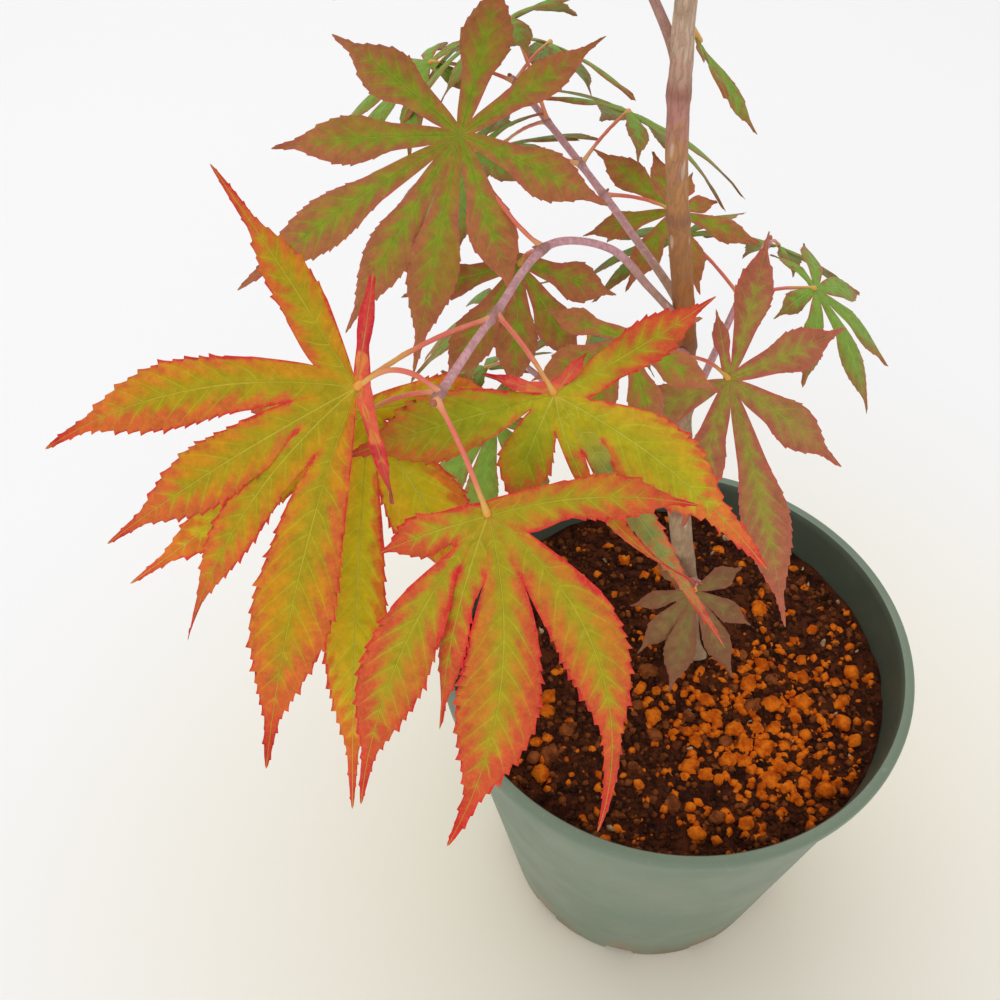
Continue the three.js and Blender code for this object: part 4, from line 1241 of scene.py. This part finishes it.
def source_grains():
    """The larger grains, where the solid has them: places, sizes, turns and tilts."""
    random = seeded(GRAINS["seed"])
    reach = wall_at(GROUND) - POT["wall"] - GRAINS["wall_gap"] - GRAINS["radius"]
    found = []
    for i in range(GRAINS["places"]):
        out, way = reach * np.sqrt((i + 0.5) / GRAINS["places"]), i * np.pi * (3 - np.sqrt(5))
        x = out * np.cos(way) + GRAINS["stray"] * next(random)
        y = out * np.sin(way) + GRAINS["stray"] * next(random)
        radius = GRAINS["radius"] + GRAINS["spread"] * next(random)
        turn, tilt, chance = np.pi * next(random), GRAINS["tilt"] * next(random), next(random)
        near = np.exp(-((from_patch(x, y) / GRAINS["patch_size"]) ** 2))
        likely = GRAINS["few"] + (1 - GRAINS["few"]) * near
        if (chance + 1) / 2 < likely and from_trunk(x, y) > GRAINS["trunk_gap"]:
            found.append((x, y, radius, turn, tilt))
    x, y, radius, turn, tilt = np.array(found).T
    size = radius[:, None] * (GRAINS["length"], 1, GRAINS["height"])
    return np.stack([x, y, np.full(len(x), float(GROUND))], -1), size, turn, tilt


# The soil's surface has an edge this deep, and crumbs keep this far from the middle of the trunk's foot
SKIRT = 9
CRUMB_GAP = 4.8


def soil_pieces():
    """The soil's surface on a round grid, its larger grains, and fine crumbs scattered between them."""
    inside = wall_at(GROUND) - POT["wall"] - 0.15
    ring = np.concatenate([[0], np.linspace(1.5, inside, 64)])
    around = np.linspace(0, 2 * np.pi, 181)[:-1]
    r, a = np.meshgrid(ring, around, indexing="ij")
    x, y = r * np.cos(a), r * np.sin(a)
    top = np.stack([x, y, soil_height(x, y)], -1)
    skirt = top[-1] * (0.985, 0.985, 1) - (0, 0, SKIRT)
    rows = np.concatenate([top, skirt[None]])
    n, m = rows.shape[:2]
    cell = numbered(n, m)
    a, b = cell[:-1], cell[1:]
    faces = np.stack([a, b, np.roll(b, -1, 1), np.roll(a, -1, 1)], -1)[1:].reshape(-1, 4)
    quads = faces[:, [0, 1, 2, 0, 2, 3]].reshape(-1, 3)
    cap = np.stack([np.full(m, cell[0, 0]), cell[1], np.roll(cell[1], -1)], -1)
    ground = put_mesh("soil_ground", rows.reshape(-1, 3), np.vstack([quads, cap]), [SOIL_SKIN])
    hand_over(ground, "soil", "soil")

    rng = np.random.default_rng(9)
    sizes = source_grains()
    patch = from_patch(*sizes[0][:, :2].T)
    clay = rng.uniform(0, 1, len(patch)) < np.where(patch < 22, 0.85, 0.5)
    grains("soil_clay_grains", CLAY_GRAIN, *(values[clay] for values in sizes), 33, detail=3, dent=0.12)
    grains("soil_dull_grains", DULL_GRAIN, *(values[~clay] for values in sizes), 35, detail=3, dent=0.12)

    def scatter(name, skin, count, small, large, seed, squash=1.0, near_patch=False):
        out = (inside - large) * np.sqrt(rng.uniform(0.005, 1, count))
        way = rng.uniform(0, 2 * np.pi, count)
        x, y = out * np.cos(way), out * np.sin(way)
        keep = from_trunk(x, y) > CRUMB_GAP
        if near_patch:
            keep &= rng.uniform(0, 1, count) < 0.09 + 0.91 * np.exp(-((from_patch(x, y) / 21) ** 2))
        x, y = x[keep], y[keep]
        radius = rng.uniform(small, large, len(x))
        size = radius[:, None] * rng.uniform(0.7, 1.3, (len(x), 3)) * (1, squash, 0.85)
        turn, tilt = rng.uniform(0, 2 * np.pi, (2, len(x)))
        at = np.stack([x, y, soil_height(x, y) + 0.15 * radius], -1)
        grains(name, skin, at, size, turn, tilt, seed)

    scatter("soil_crumbs_dark", CRUMB_DARK, 1700, 0.5, 1.1, 31)
    scatter("soil_crumbs_fine", CRUMB_DARK, 1700, 0.35, 0.8, 38)
    scatter("soil_crumbs_brown", CRUMB_BROWN, 1300, 0.4, 1.2, 32)
    scatter("soil_clay_crumbs", CLAY_GRAIN, 3000, 0.5, 1.5, 36, near_patch=True)
    scatter("soil_pale_bits", PALE_BIT, 26, 0.7, 1.4, 34, squash=0.5)


def notch_soil():
    """Crumbs washed into the drainage notches: a small heap against each notch's back."""
    rng = np.random.default_rng(12)
    way = np.radians(NOTCH["first"] + np.repeat(np.arange(NOTCH["count"]), 12) * 360 / NOTCH["count"])
    radius = rng.uniform(0.8, 1.4, len(way))
    out = POT["foot"] - NOTCH["depth"] + rng.uniform(0.2, 2.8, len(way))
    along = rng.uniform(-0.32, 0.32, len(way)) * NOTCH["width"]
    x = out * np.cos(way) - along * np.sin(way)
    y = out * np.sin(way) + along * np.cos(way)
    turn, tilt = rng.uniform(0, 2 * np.pi, (2, len(way)))
    size = radius[:, None] * (1, 1, 0.85)
    at = np.stack([x, y, 1.1 * radius], -1)
    grains("soil_in_notches", DULL_GRAIN, at, size, turn, tilt, 37)


hand_over(trunk_piece(), "trunk_bark", "trunk")
limbs()
hand_over(pot_piece(), "pot_plastic", "pot")
soil_pieces()
notch_soil()


# Floor and light
def floor_with_painted_shadow_base(w):
    """Near white, and a little warmer under the pot: painted warm shadow and bounced light."""
    place = w.add("VectorMath", {0: w.here()}, operation="LENGTH").outputs["Value"]
    # The warm tint round the pot is painted shadow and bounced light, fading out with distance from the
    # middle
    far = w.ramp(w.plus(place, w.times(w.noise(6.0), 0.05)), 0.03, 0.26)
    return w.mix(far, rgb(243, 235, 216), rgb(241, 241, 242))


floor_skin = material("pale floor", floor_with_painted_shadow_base, 0.8, 0.1)
corners = 2500 * np.array([[-1, -1, 0], [1, -1, 0], [1, 1, 0], [-1, 1, 0]])
floor = put_mesh("floor", corners, np.array([[0, 1, 2, 3]]), [floor_skin])

world = bpy.data.worlds.new("soft light")
world.use_nodes = True
world.node_tree.nodes["Background"].inputs["Color"].default_value = (1, 1, 1, 1)
world.node_tree.nodes["Background"].inputs["Strength"].default_value = 0.7
scene.world = world


def soft_lamp(name, at, power, size):
    """A square lamp at a place in metres that looks at the plant's middle."""
    lamp = bpy.data.objects.new(name, bpy.data.lights.new(name, "AREA"))
    lamp.data.energy = power
    lamp.data.size = size
    lamp.location = at
    aim = Vector((0, 0, 0.15)) - Vector(at)
    lamp.rotation_euler = aim.to_track_quat("-Z", "Y").to_euler()
    scene.collection.objects.link(lamp)


soft_lamp("key lamp", (-0.15, 0.35, 1.25), 6.5, 1.1)
soft_lamp("fill lamp", (-0.1, -0.85, 0.9), 2.4, 1.0)
